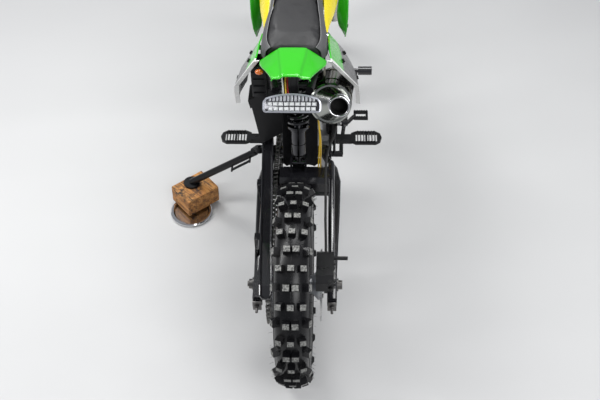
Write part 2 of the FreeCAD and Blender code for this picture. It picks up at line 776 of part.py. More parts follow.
def swingarm():
    """Two box arms with upper braces, a bridge and the pivot tube."""
    solids = []
    bevel = ARM_BEVEL
    for side in (-1, 1):
        wires = []
        for y, inner, outer, half in ARM:
            low, top = arm_z(y) - half, arm_z(y) + half
            corners = [(inner + bevel, low), (outer - bevel, low), (outer, low + bevel),
                       (outer, top - bevel), (outer - bevel, top), (inner + bevel, top),
                       (inner, top - bevel), (inner, low + bevel)]
            wires.append(polygon(mirrored([point(x, y, z) for x, z in corners], side)))
        solids.append(lofted(wires))
        # Upper brace: inset from the arm's inner face, y, rise over the middle line
        brace = [point(s.arm_inner + inset, y, arm_z(y) + rise) for inset, y, rise in
                 ((12, 10, 10.6), (10, 60, 29.4), (8, 290, 56.3), (7, 358, 50.5), (0, 386, 11.5))]
        solids.append(tube(mirrored(brace, side), s.brace_radius, 22))
        end = ARM[0][0]
        cap = [point(s.arm_inner + x, end, REAR_AXLE.z + z)
               for x, z in ((3, -13), (22, -13), (22, 13), (3, 13))]
        solids.append(Part.Face(polygon(mirrored(cap, side))).extrude(Vector(0, -4, 0)))
        bolt = Vector(side * number(s.arm_inner + s.arm_wide / 2), end - 4, REAR_AXLE.z)
        solids.append(Part.makeCylinder(5, 8, bolt, Vector(0, -1, 0)))
    low, top = number(s.bridge_low), number(s.bridge_top)
    reach = number(s.arm_inner) + 8
    # Bridge outline: distance from its rear face, height over its underside
    line = [(-5, 0), (BRIDGE_FRONT - BRIDGE_BACK, 0), (BRIDGE_FRONT - BRIDGE_BACK, top - low - 10),
            (BRIDGE_FRONT - BRIDGE_BACK - 14, top - low), (10, top - low), (0, top - low - 14),
            (0, 8), (-5, 5)]
    flat = polygon([Vector(-reach, BRIDGE_BACK + along, low + up) for along, up in line])
    solids.append(Part.Face(flat).extrude(Vector(2 * reach, 0, 0)))
    pivot = point(-s.pivot_half, s.pivot_y, s.pivot_z)
    solids.append(Part.makeCylinder(number(s.pivot_tube), 2 * number(s.pivot_half),
                                    pivot, Vector(1, 0, 0)))
    for side in (-1, 1):
        solids.append(Part.makeBox(6, 40, 42, Vector(side * 20 - 3, SHOCK_FOOT.y - 20,
                                                     SHOCK_FOOT.z - 26)))
    shape = solids[0].multiFuse(solids[1:])
    slots = []
    for side in (-1, 1):
        slot_half = number(s.slot_half)
        drop = number(s.axle_radius) + 0.5
        slots.append(Part.makeBox(60, 2 * slot_half, 2 * drop,
                                  Vector(side * 96 - 30, -slot_half, REAR_AXLE.z - drop)))
    bore = Part.makeCylinder(6, 200, point(-100, s.pivot_y, s.pivot_z), Vector(1, 0, 0))
    chain_line = number(s.drive_z + s.drive_radius)
    notch_wide = number(s.chain_wide) + 8
    notch = Part.makeBox(notch_wide, 120, 60,
                         Vector(-number(s.chain_x) - notch_wide / 2, BRIDGE_BACK - 27,
                                chain_line - number(s.chain_half) - 4))
    return keep("swingarm", shaped("swingarm",
                                   shape.cut(slots + [bore, notch]).removeSplitter()))


def rear_axle():
    """Axle with head, nut, adjuster plates and spacers."""
    outer = s.arm_inner + s.arm_wide
    r = s.axle_radius
    hollow = s.axle_bore
    outline = [
        (hollow, -outer - 17), (r, -outer - 17), (r, -outer - 13), (13, -outer - 13),
        (13, -outer - 4), (17, -outer - 4), (17, -outer - s.fit_gap),
        (r, -outer - s.fit_gap), (r, -s.arm_inner + s.fit_gap),
        (12, -s.arm_inner + s.fit_gap), (12, -s.hub_left - 0.5), (r, -s.hub_left - 0.5),
        (r, outer + s.fit_gap), (17, outer + s.fit_gap), (17, outer + 4),
        (12, outer + 4), (12, outer + 14), (hollow, outer + 14),
    ]
    return keep("rear_axle", turned("rear_axle", outline, REAR_AXLE,
                                    REAR_AXLE.add(Vector(1, 0, 0))))


def rear_caliper():
    """Caliper astride the disc, on a plate that hangs on the axle."""
    low = s.rear_radius + 70
    body = plate("caliper_block", "YZ_Plane", 56, 44,
                 [(-78, low + 2), (-66, low - 4), (16, low - 4), (26, low + 2),
                  (26, low + 34), (14, low + 44), (-60, low + 44), (-78, low + 32)])
    gap = rod("caliper_disc_gap", s.rear_disc_radius + 4, s.disc_thick + 7,
              s.rear_disc_x - s.disc_thick / 2 - 3.5, 0, s.rear_radius, ALONG_X)
    astride = cut("caliper_astride", body, gap)
    hanger = plate("caliper_hanger", "YZ_Plane", s.hub_right + 1.5,
                   s.arm_inner - s.hub_right - 1.5 - s.fit_gap,
                   [(-18, s.rear_radius - 14), (18, s.rear_radius - 14),
                    (20, s.rear_radius + 20), (22, low + 10), (-62, low + 10),
                    (-24, s.rear_radius + 18)])
    hole = rod("caliper_axle_bore", s.axle_radius + 0.5, 30, s.hub_right - 5, 0,
               s.rear_radius, ALONG_X)
    hung = cut("caliper_hung", hanger, hole)
    stub = rod("caliper_pin", 5, 36, 100, 14, low + 22, ALONG_X)
    return keep("rear_caliper", fused("rear_caliper", [astride, hung, stub]))


def brake_hose():
    """Hose from the caliper along the right arm to the pedal's cylinder."""
    points = [Vector(80, 26.3, 352), Vector(79, 84, 352), Vector(77, 142, 362),
              Vector(77, 200, 376), Vector(76, 258, 388), Vector(76, 316, 395),
              Vector(80, 368, 412), Vector(99, 412, 424), Vector(103, 454.7, 421)]
    return keep("brake_hose", shaped("brake_hose", cord(points, 3.5)))


def cord(points, radius):
    """Hose along runs joined by arcs as large as the runs allow."""
    edges = []
    start = points[0]
    for before, corner, after in zip(points, points[1:], points[2:]):
        incoming = before.sub(corner)
        outgoing = after.sub(corner)
        shorter = min(incoming.Length, outgoing.Length)
        incoming.normalize()
        outgoing.normalize()
        turn = math.pi - incoming.getAngle(outgoing)
        reach = 0.45 * shorter
        bend = reach / math.tan(turn / 2)
        half = incoming.add(outgoing).normalize()
        first = corner.add(incoming * reach)
        last = corner.add(outgoing * reach)
        middle = corner.add(half * (bend / math.cos(turn / 2) - bend))
        print(f"hose bend radius {bend:.0f} mm")
        edges.append(Part.LineSegment(start, first).toShape())
        edges.append(Part.Arc(first, middle, last).toShape())
        start = last
    edges.append(Part.LineSegment(start, points[-1]).toShape())
    path = Part.Wire(edges)
    ring = Part.Circle(points[0], points[1].sub(points[0]), radius)
    solid = path.makePipeShell([Part.Wire([ring.toShape()])], True, False)
    print(f"hose volume ratio {solid.Volume / (math.pi * radius ** 2 * path.Length):.4f}")
    return solid


def chain_guard():
    """Long guard above the left arm with rolled edges, curling in over the sprocket."""
    # Stations: y, outer x, inner x, top z
    stations = [
        (-118, -76, -58, 361), (-112, -83, -52, 367), (-88, -84, -51, 376), (45, -91, -59, 384),
        (184, -97, -64, 388), (442, -109, -78, 400), (468, -108, -82, 400),
    ]
    thick = 7
    wires = []
    for y, outer, inner, top in stations:
        wires.append(polygon([Vector(x, y, top - drop) for x, drop in (
            (outer, thick), (inner, thick), (inner, 1), (inner - 2, 0), (inner - 5, 1),
            (inner - 7, 3.5), (outer + 7, 3.5), (outer + 5, 1), (outer + 2, 0), (outer, 1))]))
    rail = lofted(wires)
    legs = []
    for y in (70, 262):
        under = between(stations, y, 3) - thick + 1
        arm_top = arm_z(y + 10) + between(ARM, y + 10, 3) + number(s.fit_gap)
        foot_x = -between(ARM, y, 2) + ARM_BEVEL
        reach = between(stations, y, 1) + 6 - foot_x
        legs.append(Part.makeBox(3, 20, under - arm_top, Vector(foot_x, y - 10, arm_top)))
        legs.append(Part.makeBox(reach, 20, 5, Vector(foot_x, y - 10, under - 4)))
    return keep("chain_guard", shaped("chain_guard", rail.multiFuse(legs).removeSplitter()))


SPRING_LOW = 114
SPRING_TURNS = 9
END_PITCH = 10.5
TURN_STEPS = 16


def shock_head():
    """Upper shock eye, between the backbone's lugs."""
    y = number(s.shock_top_y)
    return Vector(0, y, spine_z(y) - number(s.shock_drop))


def shock():
    """Damper with its lower eye in the swingarm's ears and its top eye in the frame."""
    foot, head = SHOCK_FOOT, shock_head()
    length = head.sub(foot).Length
    r = s.shock_body
    wide = s.spring_radius + s.wire_radius
    outline = [
        (0, 6), (12, 6), (12, 22), (r - 4, 26), (r, 30), (r, 60), (r - 1.5, 61), (r - 1.5, 64),
        (r, 65), (r, 98), (r + 3, 100), (r + 3, 106),
        (wide, 108), (wide, SPRING_LOW), (r - 5, SPRING_LOW), (r - 5, length - 26),
        (wide, length - 26), (wide, length - 20),
        (12, length - 16), (12, length - 4), (0, length - 4),
    ]
    damper = turned("shock_turned", outline, foot, head)
    doc.recompute()
    eyes = [Part.makeCylinder(13, 33, end.add(Vector(-16.5, 0, 0)), Vector(1, 0, 0))
            for end in (foot, head)]
    keep("shock_body", shaped("shock_body", damper.Shape.multiFuse(eyes)))
    gap = number(s.fit_gap)
    keep("shock_spring", shaped("shock_spring", coil(foot, head, SPRING_LOW + gap,
                                                     length - 26 - gap)))


def coil(foot, head, low, top):
    """Spring of round wire, drawn six-sided, with a closed turn at each end."""
    along = head.sub(foot).normalize()
    spin = Rotation(Vector(0, 0, 1), along)
    radius, wire = number(s.spring_radius), number(s.wire_radius)
    start, rise = low + wire, top - low - 2 * wire
    open_pitch = (rise - 2 * END_PITCH) / (SPRING_TURNS - 2)
    points = []
    for index in range(SPRING_TURNS * TURN_STEPS + 1):
        turns = index / TURN_STEPS
        last = max(0, turns - (SPRING_TURNS - 1))
        lift = min(turns, 1) * END_PITCH + max(0, turns - last - 1) * open_pitch + last * END_PITCH
        angle = 2 * math.pi * turns
        points.append(foot.add(along * (start + lift)).add(
            spin.multVec(Vector(radius * math.cos(angle), radius * math.sin(angle), 0))))
    return swept(points, around(points[0], points[1].sub(points[0]), wire, 6))


# Frame

def spine_z(y):
    """Height of the backbone's middle line."""
    front = steer_point(0, 0, s.crown_low + s.crown_thick + s.head_length / 2)
    share = (y - number(s.spine_back_y)) / (front.y - number(s.spine_back_y))
    return number(s.spine_back_z) + share * (front.z - number(s.spine_back_z))


def frame_backbone():
    """Steering head tube, box backbone and shock lugs."""
    half = number(s.spine_half)
    rise = number(s.spine_rise) / 2
    wires = []
    for y in (number(s.spine_back_y), 900):
        z = spine_z(y)
        wires.append(polygon([Vector(-half, y, z - rise), Vector(half, y, z - rise),
                              Vector(half, y, z + rise), Vector(-half, y, z + rise)]))
    box = lofted(wires)
    low = steer_point(0, 0, s.crown_low + s.crown_thick + s.head_gap)
    length = number(s.head_length - 2 * s.head_gap)
    head = Part.makeCylinder(number(s.head_radius), length, low, STEER_UP)
    gusset = polygon([Vector(-6, 920, 742), Vector(-6, 800, spine_z(800) - rise),
                      Vector(-6, 880, spine_z(880))])
    web = Part.Face(gusset).extrude(Vector(12, 0, 0))
    top = shock_head()
    lugs = [Part.makeBox(5, 34, spine_z(440) - top.z + 14,
                         Vector(x, top.y - 6, top.z - 15)) for x in (-22, 17)]
    bore = Part.makeCylinder(number(s.stem_radius) + 0.08, length, low, STEER_UP)
    shape = box.multiFuse([head, web] + lugs).cut(bore)
    return keep("frame_backbone", shaped("frame_backbone", shape.removeSplitter()))


def frame_downtube():
    """Single down tube that splits into two cradle rails under the engine."""
    top = steer_point(0, -number(s.head_radius) + 2, s.crown_low + s.crown_thick + 34)
    fork = Vector(0, 792, 352)
    solids = [tube([top, Vector(0, 812, 420), Vector(0, 786, 338)], s.down_radius, 60)]
    x = number(s.cradle_x)
    z = number(s.cradle_z)
    for side in (-1, 1):
        rail = [Vector(0, fork.y, fork.z), Vector(side * x, 762, 262), Vector(side * x, 730, z),
                Vector(side * x, 520, z), Vector(side * x, 468, z + 6)]
        solids.append(tube(rail, s.cradle_radius, 20))
    shape = solids[0].multiFuse(solids[1:])
    head = Part.makeCylinder(number(s.head_radius) + number(s.fit_gap), 300,
                             steer_point(0, 0, 450), STEER_UP)
    half = number(s.spine_rise) / 2 + number(s.fit_gap)
    wires = []
    for y in (400, 960):
        z_mid = spine_z(y)
        wires.append(polygon([Vector(-30, y, z_mid - half), Vector(30, y, z_mid - half),
                              Vector(30, y, z_mid + half), Vector(-30, y, z_mid + half)]))
    web = Part.makeBox(13, 160, 120, Vector(-6.5, 790, 700))
    return keep("frame_downtube", shaped("frame_downtube",
                                         shape.cut([head, lofted(wires), web]).Solids[0]))


def frame_plates():
    """Pivot plates, stand lug and the upright spars to the backbone."""
    outline = [(422, 300), (438, 262), (478, 214), (505, 214), (506, 330),
               (502, 384), (468, 384), (438, 376), (422, 350)]
    solids = []
    for side in (-1, 1):
        x = number(s.plate_inner)
        flat = polygon([Vector(side * x, y, z) for y, z in outline])
        solids.append(Part.Face(flat).extrude(Vector(side * number(s.plate_thick), 0, 0)))
        spar = [Vector(side * 87, 486, 372), Vector(side * 84, 492, 420),
                Vector(side * 62, 514, 530), Vector(side * 13, 488, 709.5)]
        solids.append(tube(spar, s.spar_radius, 40))
    solids.append(Part.makeCylinder(9, 2 * number(s.plate_inner),
                                    point(-s.plate_inner, 478, 262), Vector(1, 0, 0)))
    solids.append(Part.makeCylinder(5.5, 2 * number(s.plate_inner + s.plate_thick),
                                    point(-s.plate_inner - s.plate_thick, s.pivot_y, s.pivot_z),
                                    Vector(1, 0, 0)))
    shape = solids[0].multiFuse(solids[1:] + stand_lug())
    rail_gap = number(s.cradle_radius + s.fit_gap)
    rails = [Part.makeCylinder(rail_gap, 200, Vector(side * number(s.cradle_x), 400,
                                                     number(s.cradle_z)), Vector(0, 1, 0))
             for side in (-1, 1)]
    return keep("frame_plates", shaped("frame_plates", shape.cut(rails).removeSplitter()))


STAND_AXIS = Vector(0, 0.35, 0.94).normalize()
STAND_PIVOT = point(-s.stand_x, s.stand_y, s.stand_z)
STAND_FOOT = point(-s.foot_x, s.foot_y, s.foot_z)


def stand_lug():
    """Lug of the stand with its pivot bolt, above the stand's head."""
    eye = Part.makeCylinder(14, 8, STAND_PIVOT.add(STAND_AXIS * number(s.fit_gap)), STAND_AXIS)
    pin = Part.makeCylinder(5, 24, STAND_PIVOT.sub(STAND_AXIS * 12), STAND_AXIS)
    head = Part.makeCylinder(8.5, 4, STAND_PIVOT.sub(STAND_AXIS * 12.3), STAND_AXIS)
    arm = Part.makeBox(number(s.stand_x) - number(s.plate_inner) - 4, 26, 8,
                       Vector(0, -13, number(s.fit_gap)))
    arm.Placement = Placement(STAND_PIVOT, Rotation(Vector(0, 0, 1), STAND_AXIS))
    return [eye, pin, head, arm]


def subframe():
    """Seat rails, their struts and a rear cross tube."""
    x = number(s.rail_x)
    near = number(s.spine_half + s.rail_radius + s.fit_gap)
    solids = []
    for side in (-1, 1):
        rail = [Vector(near, 512, 738), Vector(near + 1, 490, 741), Vector(x, 430, 752),
                Vector(x, 330, 770), Vector(x - 10, 230, 781), Vector(x - 20, 159.5, 789)]
        solids.append(tube(mirrored(rail, side), s.rail_radius, 30))
        strut = [Vector(49, 478, 628), Vector(x, 420, 672), Vector(x, 262, 772)]
        solids.append(tube(mirrored(strut, side), s.rail_radius - 1, 30))
    cross = Part.makeCylinder(7, 84, Vector(-42, 182, 786.5), Vector(1, 0, 0))
    return keep("subframe", shaped("subframe", solids[0].multiFuse(solids[1:] + [cross])))


# Engine

def engine_case():
    """Crankcase with round clutch and generator covers."""
    low, top = s.case_low, s.case_top
    back, front = s.case_back, s.case_front
    outline = [(back + 10, low + 30), (back + 60, low), (front - 60, low), (front, low + 40),
               (front, low + 120), (front - 40, top), (back + 40, top), (back, top - 40)]
    core = plate("crankcase", "YZ_Plane", -s.case_left, s.case_left + s.case_right, outline)
    # Covers and shafts: name, radius, length, start x, y, z
    rounds = [
        ("clutch_cover", 62, 34, s.case_right, back + 82, low + 88),
        ("clutch_step", 44, 38, s.case_right, back + 82, low + 88),
        ("timing_cover", 48, 26, s.case_right, front - 66, low + 70),
        ("timing_cap", 22, 31, s.case_right, front - 66, low + 70),
        ("generator_cover", 54, 30, -s.case_left - 30, front - 86, low + 74),
        ("generator_step", 38, 34, -s.case_left - 34, front - 86, low + 74),
        ("drive_shaft", 9, 24, -s.case_left - 24, s.drive_y, s.drive_z),
        ("drive_sprocket", s.drive_radius - s.chain_half - 1, 6, -s.chain_x - 3,
         s.drive_y, s.drive_z),
        ("kick_boss", 14, 20, s.case_right + 34, back + 66, low + 118),
    ]
    members = [rod(name, radius, length, x, y, z, ALONG_X) for name, radius, length, x, y, z in rounds]
    return keep("engine_case", fused("engine_case", [core] + members))


BARREL = Placement(point(0, s.barrel_y, s.case_top + 10.5),
                   Rotation(Vector(1, 0, 0), -number(s.barrel_tilt)))
PORT_UP = 140
INLET_UP = 92
PORT_OUT = s.barrel_half + s.fin_reach + 2


def engine_cylinder():
    """Finned barrel and head, leaning forward on the crankcase."""
    body = new_body("engine_cylinder")
    half = s.barrel_half
    core = draw(body, "XY_Plane", 0, [(-half, -half), (half, -half), (half, half), (-half, half)])
    pad(body, core, s.barrel_rise + s.head_rise, "Core")
    edge = half + s.fin_reach
    rim_line = [(-edge, 14 - edge), (14 - edge, -edge), (edge - 14, -edge), (edge, 14 - edge),
                (edge, edge - 14), (edge - 14, edge), (14 - edge, edge), (-edge, edge - 14)]
    fin = pad(body, draw(body, "XY_Plane", 14, rim_line, "FinLine"), s.fin_thick, "Fin")
    doc.recompute()
    pattern = body.newObject("PartDesign::LinearPattern", "Fins")
    pattern.Originals = [fin]
    pattern.Direction = (core, ["N_Axis"])
    pattern.Length = 132
    pattern.Occurrences = 12
    body.Tip = pattern
    cover_line = [(-half - 4, -half), (half + 4, -half), (half + 4, half), (-half - 4, half)]
    cover = draw(body, "XY_Plane", s.barrel_rise + s.head_rise - 34, cover_line, "CoverLine")
    pad(body, cover, 34, "Cover")
    port_line = [(20 * math.cos(math.pi / 4 * step), PORT_UP + 20 * math.sin(math.pi / 4 * step))
                 for step in range(8)]
    port = draw(body, "XZ_Plane", -PORT_OUT, port_line, "PortLine")
    pad(body, port, PORT_OUT - s.barrel_half + 4, "Port")
    inlet_line = [(u, v - PORT_UP + INLET_UP) for u, v in port_line]
    inlet = draw(body, "XZ_Plane", s.barrel_half - 4, inlet_line, "InletLine")
    pad(body, inlet, PORT_OUT - s.barrel_half + 4, "Inlet")
    body.Placement = BARREL
    return keep("engine_cylinder", body)


def carburettor():
    """Carburettor on the inlet stub, with its rubber elbow to the airbox."""
    start = BARREL.multVec(Vector(0, -number(PORT_OUT + s.fit_gap), INLET_UP))
    behind = BARREL.Rotation.multVec(Vector(0, -1, 0))
    outline = [(0, 0), (17, 0), (17, 14), (24, 16), (24, 54), (20, 56), (22, 60), (22, 78), (0, 78)]
    throat = turned("carburettor_throat", outline, start, start.add(behind))
    middle = start.add(behind * 36)
    bowl = rod("carburettor_bowl", 20, 56, 0, middle.y, middle.z - 56)
    slide = rod("carburettor_slide", 17, 52, 0, middle.y, middle.z)
    doc.recompute()
    last = start.add(behind * 76)
    elbow = tube([last, Vector(0, 481, last.z + 4), Vector(-74, 481, 545),
                  Vector(-74, AIRBOX_FRONT + number(s.fit_gap), 545)], 13, 15)
    whole = throat.Shape.multiFuse([bowl.Shape, slide.Shape, elbow])
    return keep("carburettor", shaped("carburettor", whole.removeSplitter()))


def exhaust():
    """Header round the right side of the cylinder, and the round silencer."""
    front = point(s.can_front_x, s.can_front_y, s.can_front_z)
    back = point(s.can_back_x, s.can_back_y, s.can_back_z)
    along = back.sub(front).normalize()
    port = BARREL.multVec(Vector(0, number(PORT_OUT + s.fit_gap), PORT_UP))
    ahead = BARREL.Rotation.multVec(Vector(0, 1, 0))
    points = [port, port.add(ahead * 56), Vector(70, 806, 492),
              Vector(106, 716, 452), Vector(110, 576, 456), front.sub(along * 38),
              front.sub(along * number(s.fit_gap))]
    keep("exhaust_header", shaped("exhaust_header", tube(points, s.header_radius, 34)))
    r = s.can_radius
    length = back.sub(front).Length
    band = 1.6
    outline = [(0, 0), (24, 0), (r - 6, 26), (r, 30), (r + band, 31), (r + band, 41), (r, 42),
               (r, length * 0.62), (r + band, length * 0.62 + 1), (r + band, length * 0.62 + 21),
               (r, length * 0.62 + 22), (r, length - 14), (r + band, length - 13),
               (r + band, length), (r - 3, length + 4), (0, length + 4)]
    can = turned("silencer_can", outline, front, back)
    cone_length = number(s.cone_length)
    tip_length = number(s.tip_length)
    mouth = back.add(along * cone_length).add(point(s.tip_offset, 0, s.tip_lift))
    base = back.add(along * 3)
    cone = Part.makeLoft([Part.Wire([Part.Circle(base, along, number(r) - 7).toShape()]),
                          Part.Wire([Part.Circle(mouth, along, number(s.tip_radius)).toShape()])],
                         True, True)
    pipe = Part.makeCylinder(number(s.tip_radius), tip_length, mouth, along)
    lip = Part.makeCylinder(number(s.tip_radius) + 1.6, 4, mouth.add(along * (tip_length - 4)), along)
    bore = Part.makeCylinder(number(s.tip_radius) - 3, tip_length + 40, mouth.sub(along * 20), along)
    doc.recompute()
    tab = Part.Face(polygon([Vector(70, 312, 672), Vector(70, 352, 656), Vector(70, 346, 776),
                             Vector(70, 318, 776)])).extrude(Vector(5, 0, 0))
    keep("silencer", shaped("silencer", can.Shape.multiFuse([cone, pipe, lip, tab]).cut(bore)))


AIRBOX_BACK = 402
AIRBOX_FRONT = 464


def airbox():
    """Tilted black box on the left, with a rim round its lid."""
    outline = [(-131, 552), (-109, 400), (-39, 450), (-56, 606)]
    body = new_body("airbox")
    base = pad(body, draw(body, "XZ_Plane", -AIRBOX_BACK, outline), AIRBOX_FRONT - AIRBOX_BACK)
    base.Reversed = True
    rim_line = [(-137, 560), (-132, 533), (-52, 588), (-56, 615)]
    lid = pad(body, draw(body, "XZ_Plane", -399, rim_line, "RimLine"), 68, "Rim")
    lid.Reversed = True
    return keep("airbox", body)


# Seat, tank and plastics

# Seat stations: y, half width at the base, half width at the top, base z, top z
SEAT = [
    (238, 66, 50, 813, 848), (275, 78, 62, 806, 856), (350, 80, 63, 800, 864),
    (470, 78, 60, 796, 868), (590, 72, 54, 806, 872), (668, 58, 38, 842, 888),
]


def seat():
    wires = []
    for y, low_half, top_half, low, top in SEAT:
        shoulder = (low_half + top_half) / 2 + 4
        wires.append(polygon([Vector(-low_half, y, low), Vector(low_half, y, low),
                              Vector(shoulder, y, low + (top - low) * 0.62),
                              Vector(top_half - 10, y, top), Vector(10 - top_half, y, top),
                              Vector(-shoulder, y, low + (top - low) * 0.62)]))
    return keep("seat", shaped("seat", lofted(wires)))


def fuel_tank():
    """Tank astride the backbone; its rear runs under the seat."""
    half = number(s.tank_half)
    gap = number(s.fit_gap)
    # Stations: y, half width, underside z, shoulder z, top half width, top z
    stations = [
        (520, half - 30, 742, 776, half - 44, 799.6 - gap),
        (590, half - 14, 738, 786, half - 32, 806 - gap),
        (668, half, 732, 810, half - 40, 842 - gap),
        (700, half + 3, 730, 840, half - 34, 884),
        (760, half + 2, 734, 850, half - 36, 904),
        (812, half - 16, 748, 842, half - 44, 886),
    ]
    wires = []
    for y, wide, low, shoulder, top_half, top in stations:
        wires.append(polygon([Vector(-wide + 8, y, low), Vector(wide - 8, y, low),
                              Vector(wide, y, low + 24), Vector(wide, y, shoulder),
                              Vector(top_half, y, top), Vector(-top_half, y, top),
                              Vector(-wide, y, shoulder), Vector(-wide, y, low + 24)]))
    tank = lofted(wires)
    tunnel_half = number(s.spine_half) + 10
    rise = number(s.spine_rise) / 2 + gap
    tunnel = []
    for y in (480, 880):
        z = spine_z(y)
        tunnel.append(polygon([Vector(-tunnel_half, y, z - 90), Vector(tunnel_half, y, z - 90),
                               Vector(tunnel_half, y, z + rise),
                               Vector(-tunnel_half, y, z + rise)]))
    rails = Part.makeBox(2 * number(s.rail_x), 60, 60, Vector(-number(s.rail_x), 480, 700))
    cap = Part.makeCylinder(26, 14, Vector(0, 752, 900), Vector(0, 0, 1))
    shape = tank.fuse(cap).cut([lofted(tunnel), rails])
    return keep("fuel_tank", shaped("fuel_tank", shape.removeSplitter()))


def panel(rows, side, turn_in=0):
    """Plastic panel lofted upwards; rows are z, rear y, front y, and x at the
    rear, the middle and the front of its outer face. Its rear edge can turn in."""
    thick = number(s.skin)
    wires = []
    for z, back, front, x_back, x_mid, x_front in rows:
        middle = (back + front) / 2
        corners = [Vector(x_back, back, z), Vector(x_mid, middle, z), Vector(x_front, front, z),
                   Vector(x_front - thick, front, z), Vector(x_mid - thick, middle, z)]
        if turn_in:
            corners += [Vector(x_back - thick, back + thick, z),
                        Vector(x_back - turn_in, back + thick + 2, z),
                        Vector(x_back - turn_in, back + 2, z)]
        else:
            corners.append(Vector(x_back - thick, back, z))
        wires.append(polygon(mirrored(corners, side)))
    return lofted(wires)


SHROUD = [
    (600, 640, 668, 129, 128, 126), (650, 604, 762, 132, 133, 113),
    (700, 590, 812, 134, 136, 108), (752, 590, 832, 134, 136, 105),
    (800, 602, 834, 121, 122, 101), (832, 640, 826, 103, 104, 92),
]
SIDE_PANEL = [
    (566, 382, 480, 167, 162, 148), (620, 356, 500, 165, 158, 136),
    (665, 331, 490, 160, 148, 122), (740, 281, 440, 128, 112, 92),
    (800, 241, 370, 102, 92, 84), (821, 227, 300, 92, 88, 86),
]
EDGE_TURN = 12


def boss(side, inner, outer, y, z, radius=7):
    return Part.makeCylinder(radius, outer - inner, Vector(side * inner, y, z),
                             Vector(side, 0, 0))


def shrouds():
    solids = []
    for side in (-1, 1):
        tank_side = number(s.tank_half) + 3 + number(s.fit_gap)
        spacer = boss(side, tank_side, 134, 716, 770)
        vents = []
        for z in (694, 716):
            slot = Part.makeBox(80, 96, 10, Vector(side * 130 - 40, 650, z))
            slot.rotate(Vector(0, 650, z), Vector(1, 0, 0), 10)
            vents.append(slot)
        solids.append(panel(SHROUD, side).cut(vents).fuse(spacer))
    return keep("shrouds", shaped("shrouds", Part.makeCompound(solids)))


def side_panels():
    solids = []
    for side in (-1, 1):
        rail_side = number(s.rail_x + s.rail_radius + s.fit_gap)
        spacer = boss(side, rail_side, 96.5, 360, 765, 6)
        solids.append(panel(SIDE_PANEL, side, EDGE_TURN).fuse(spacer))
    return keep("side_panels", shaped("side_panels", Part.makeCompound(solids)))


# Mudguard stations: y, half width, half width of the raised middle, its z, edge z, wall
REAR_FENDER = [
    (112, 44, 19, 868, 861, 7), (118, 46, 20, 868, 860, 7), (120, 46, 20, 868, 860, 3.5),
    (165, 60, 24, 861, 838, 3.5), (205, 77, 28, 850, 814, 3.5), (226, 77, 28, 842, 810, 3.5),
    (237, 73, 28, 808, 794, 3.5), (330, 78, 28, 796, 784, 3.5),
]
FRONT_FENDER = [
    (960, 42, 16, 700, 686, 3.5), (1040, 58, 20, 730, 712, 3.5), (1180, 66, 22, 742, 720, 3.5),
    (1320, 62, 20, 722, 700, 3.5), (1440, 48, 16, 684, 670, 3.5), (1488, 28, 10, 661, 655, 3.5),
    (1490, 28, 10, 661, 655, 6), (1496, 26, 9, 660, 654, 6),
]
CREASE_WIDE = 6
CREASE_DEEP = 5


def mudguard(stations):
    """Shell with a raised middle, a crease each side of it and sloping sides."""
    wires = []
    for y, half, flat, crown, edge, wall in stations:
        side = [(half, edge), (flat + CREASE_WIDE, crown - CREASE_DEEP), (flat, crown)]
        over = [(-x, z) for x, z in side] + side[::-1]
        under = [(x, z - wall) for x, z in reversed(over)]
        wires.append(polygon([Vector(x, y, z) for x, z in over + under]))
    return lofted(wires)


def rear_fender():
    pads = [Part.makeCylinder(6, 5.5, Vector(x, 300, 783.6), Vector(0, 0, 1)) for x in (-56, 56)]
    return keep("rear_fender", shaped("rear_fender", mudguard(REAR_FENDER).multiFuse(pads)))


def front_fender():
    seat_top = steer_point(0, 30, s.crown_low - s.fit_gap)
    foot = Vector(0, seat_top.y, 712)
    mount = Part.makeCylinder(16, 40, seat_top, STEER_UP * -1)
    trimmed = mount.common(Part.makeBox(100, 200, 60, Vector(-50, 900, foot.z)))
    return keep("front_fender", shaped("front_fender", mudguard(FRONT_FENDER).fuse(trimmed)))


def inner_fender():
    """Black flap between the shock and the carburettor."""
    outline = [(392, 372), (396, 372), (434, 545), (466, 640), (466, 705), (462, 705),
               (462, 641), (430, 546)]
    return keep("inner_fender", plate("inner_fender", "YZ_Plane", -38.7, 74.7, outline))


def tail_light():
    """Sloping lamp with full shoulders and an arched top, on the rails' end plate."""
    low, high = Vector(0, 106, 766), Vector(0, 133, 800)
    up = high.sub(low).normalize()
    ahead = Vector(0, up.z, -up.y)

    def outline(inset, forward):
        """Lens outline in its own plane, drawn smaller and moved forward."""
        start = low.add(ahead * forward)
        half = [(61 - inset, inset), (68 - inset, 12), (68 - inset, 22), (60 - inset, 35 - inset)]
        right = [start.add(Vector(x, 0, 0)).add(up * rise) for x, rise in half]
        left = [start.add(Vector(-x, 0, 0)).add(up * rise) for x, rise in reversed(half)]
        arch = Part.Arc(right[-1], start.add(up * (45 - inset)), left[0]).toShape()
        line = left + right
        sides = [Part.LineSegment(a, b).toShape() for a, b in zip(line, line[1:])]
        return Part.Wire(sides + [arch])

    lens = lofted([outline(7, -6), outline(3, 0)])
    bezel = Part.Face(outline(0, 0)).extrude(ahead * 7)
    bowl = lofted([outline(4, 6), outline(16, 26)])
    neck = Part.makeBox(72, 30, 18, Vector(-36, 123, 774))
    bracket = Part.makeBox(88, 6, 38, Vector(-44, 152, 774))
    return keep("tail_light", shaped("tail_light", lens.multiFuse([bezel, bowl, neck, bracket])))


# Rider's controls

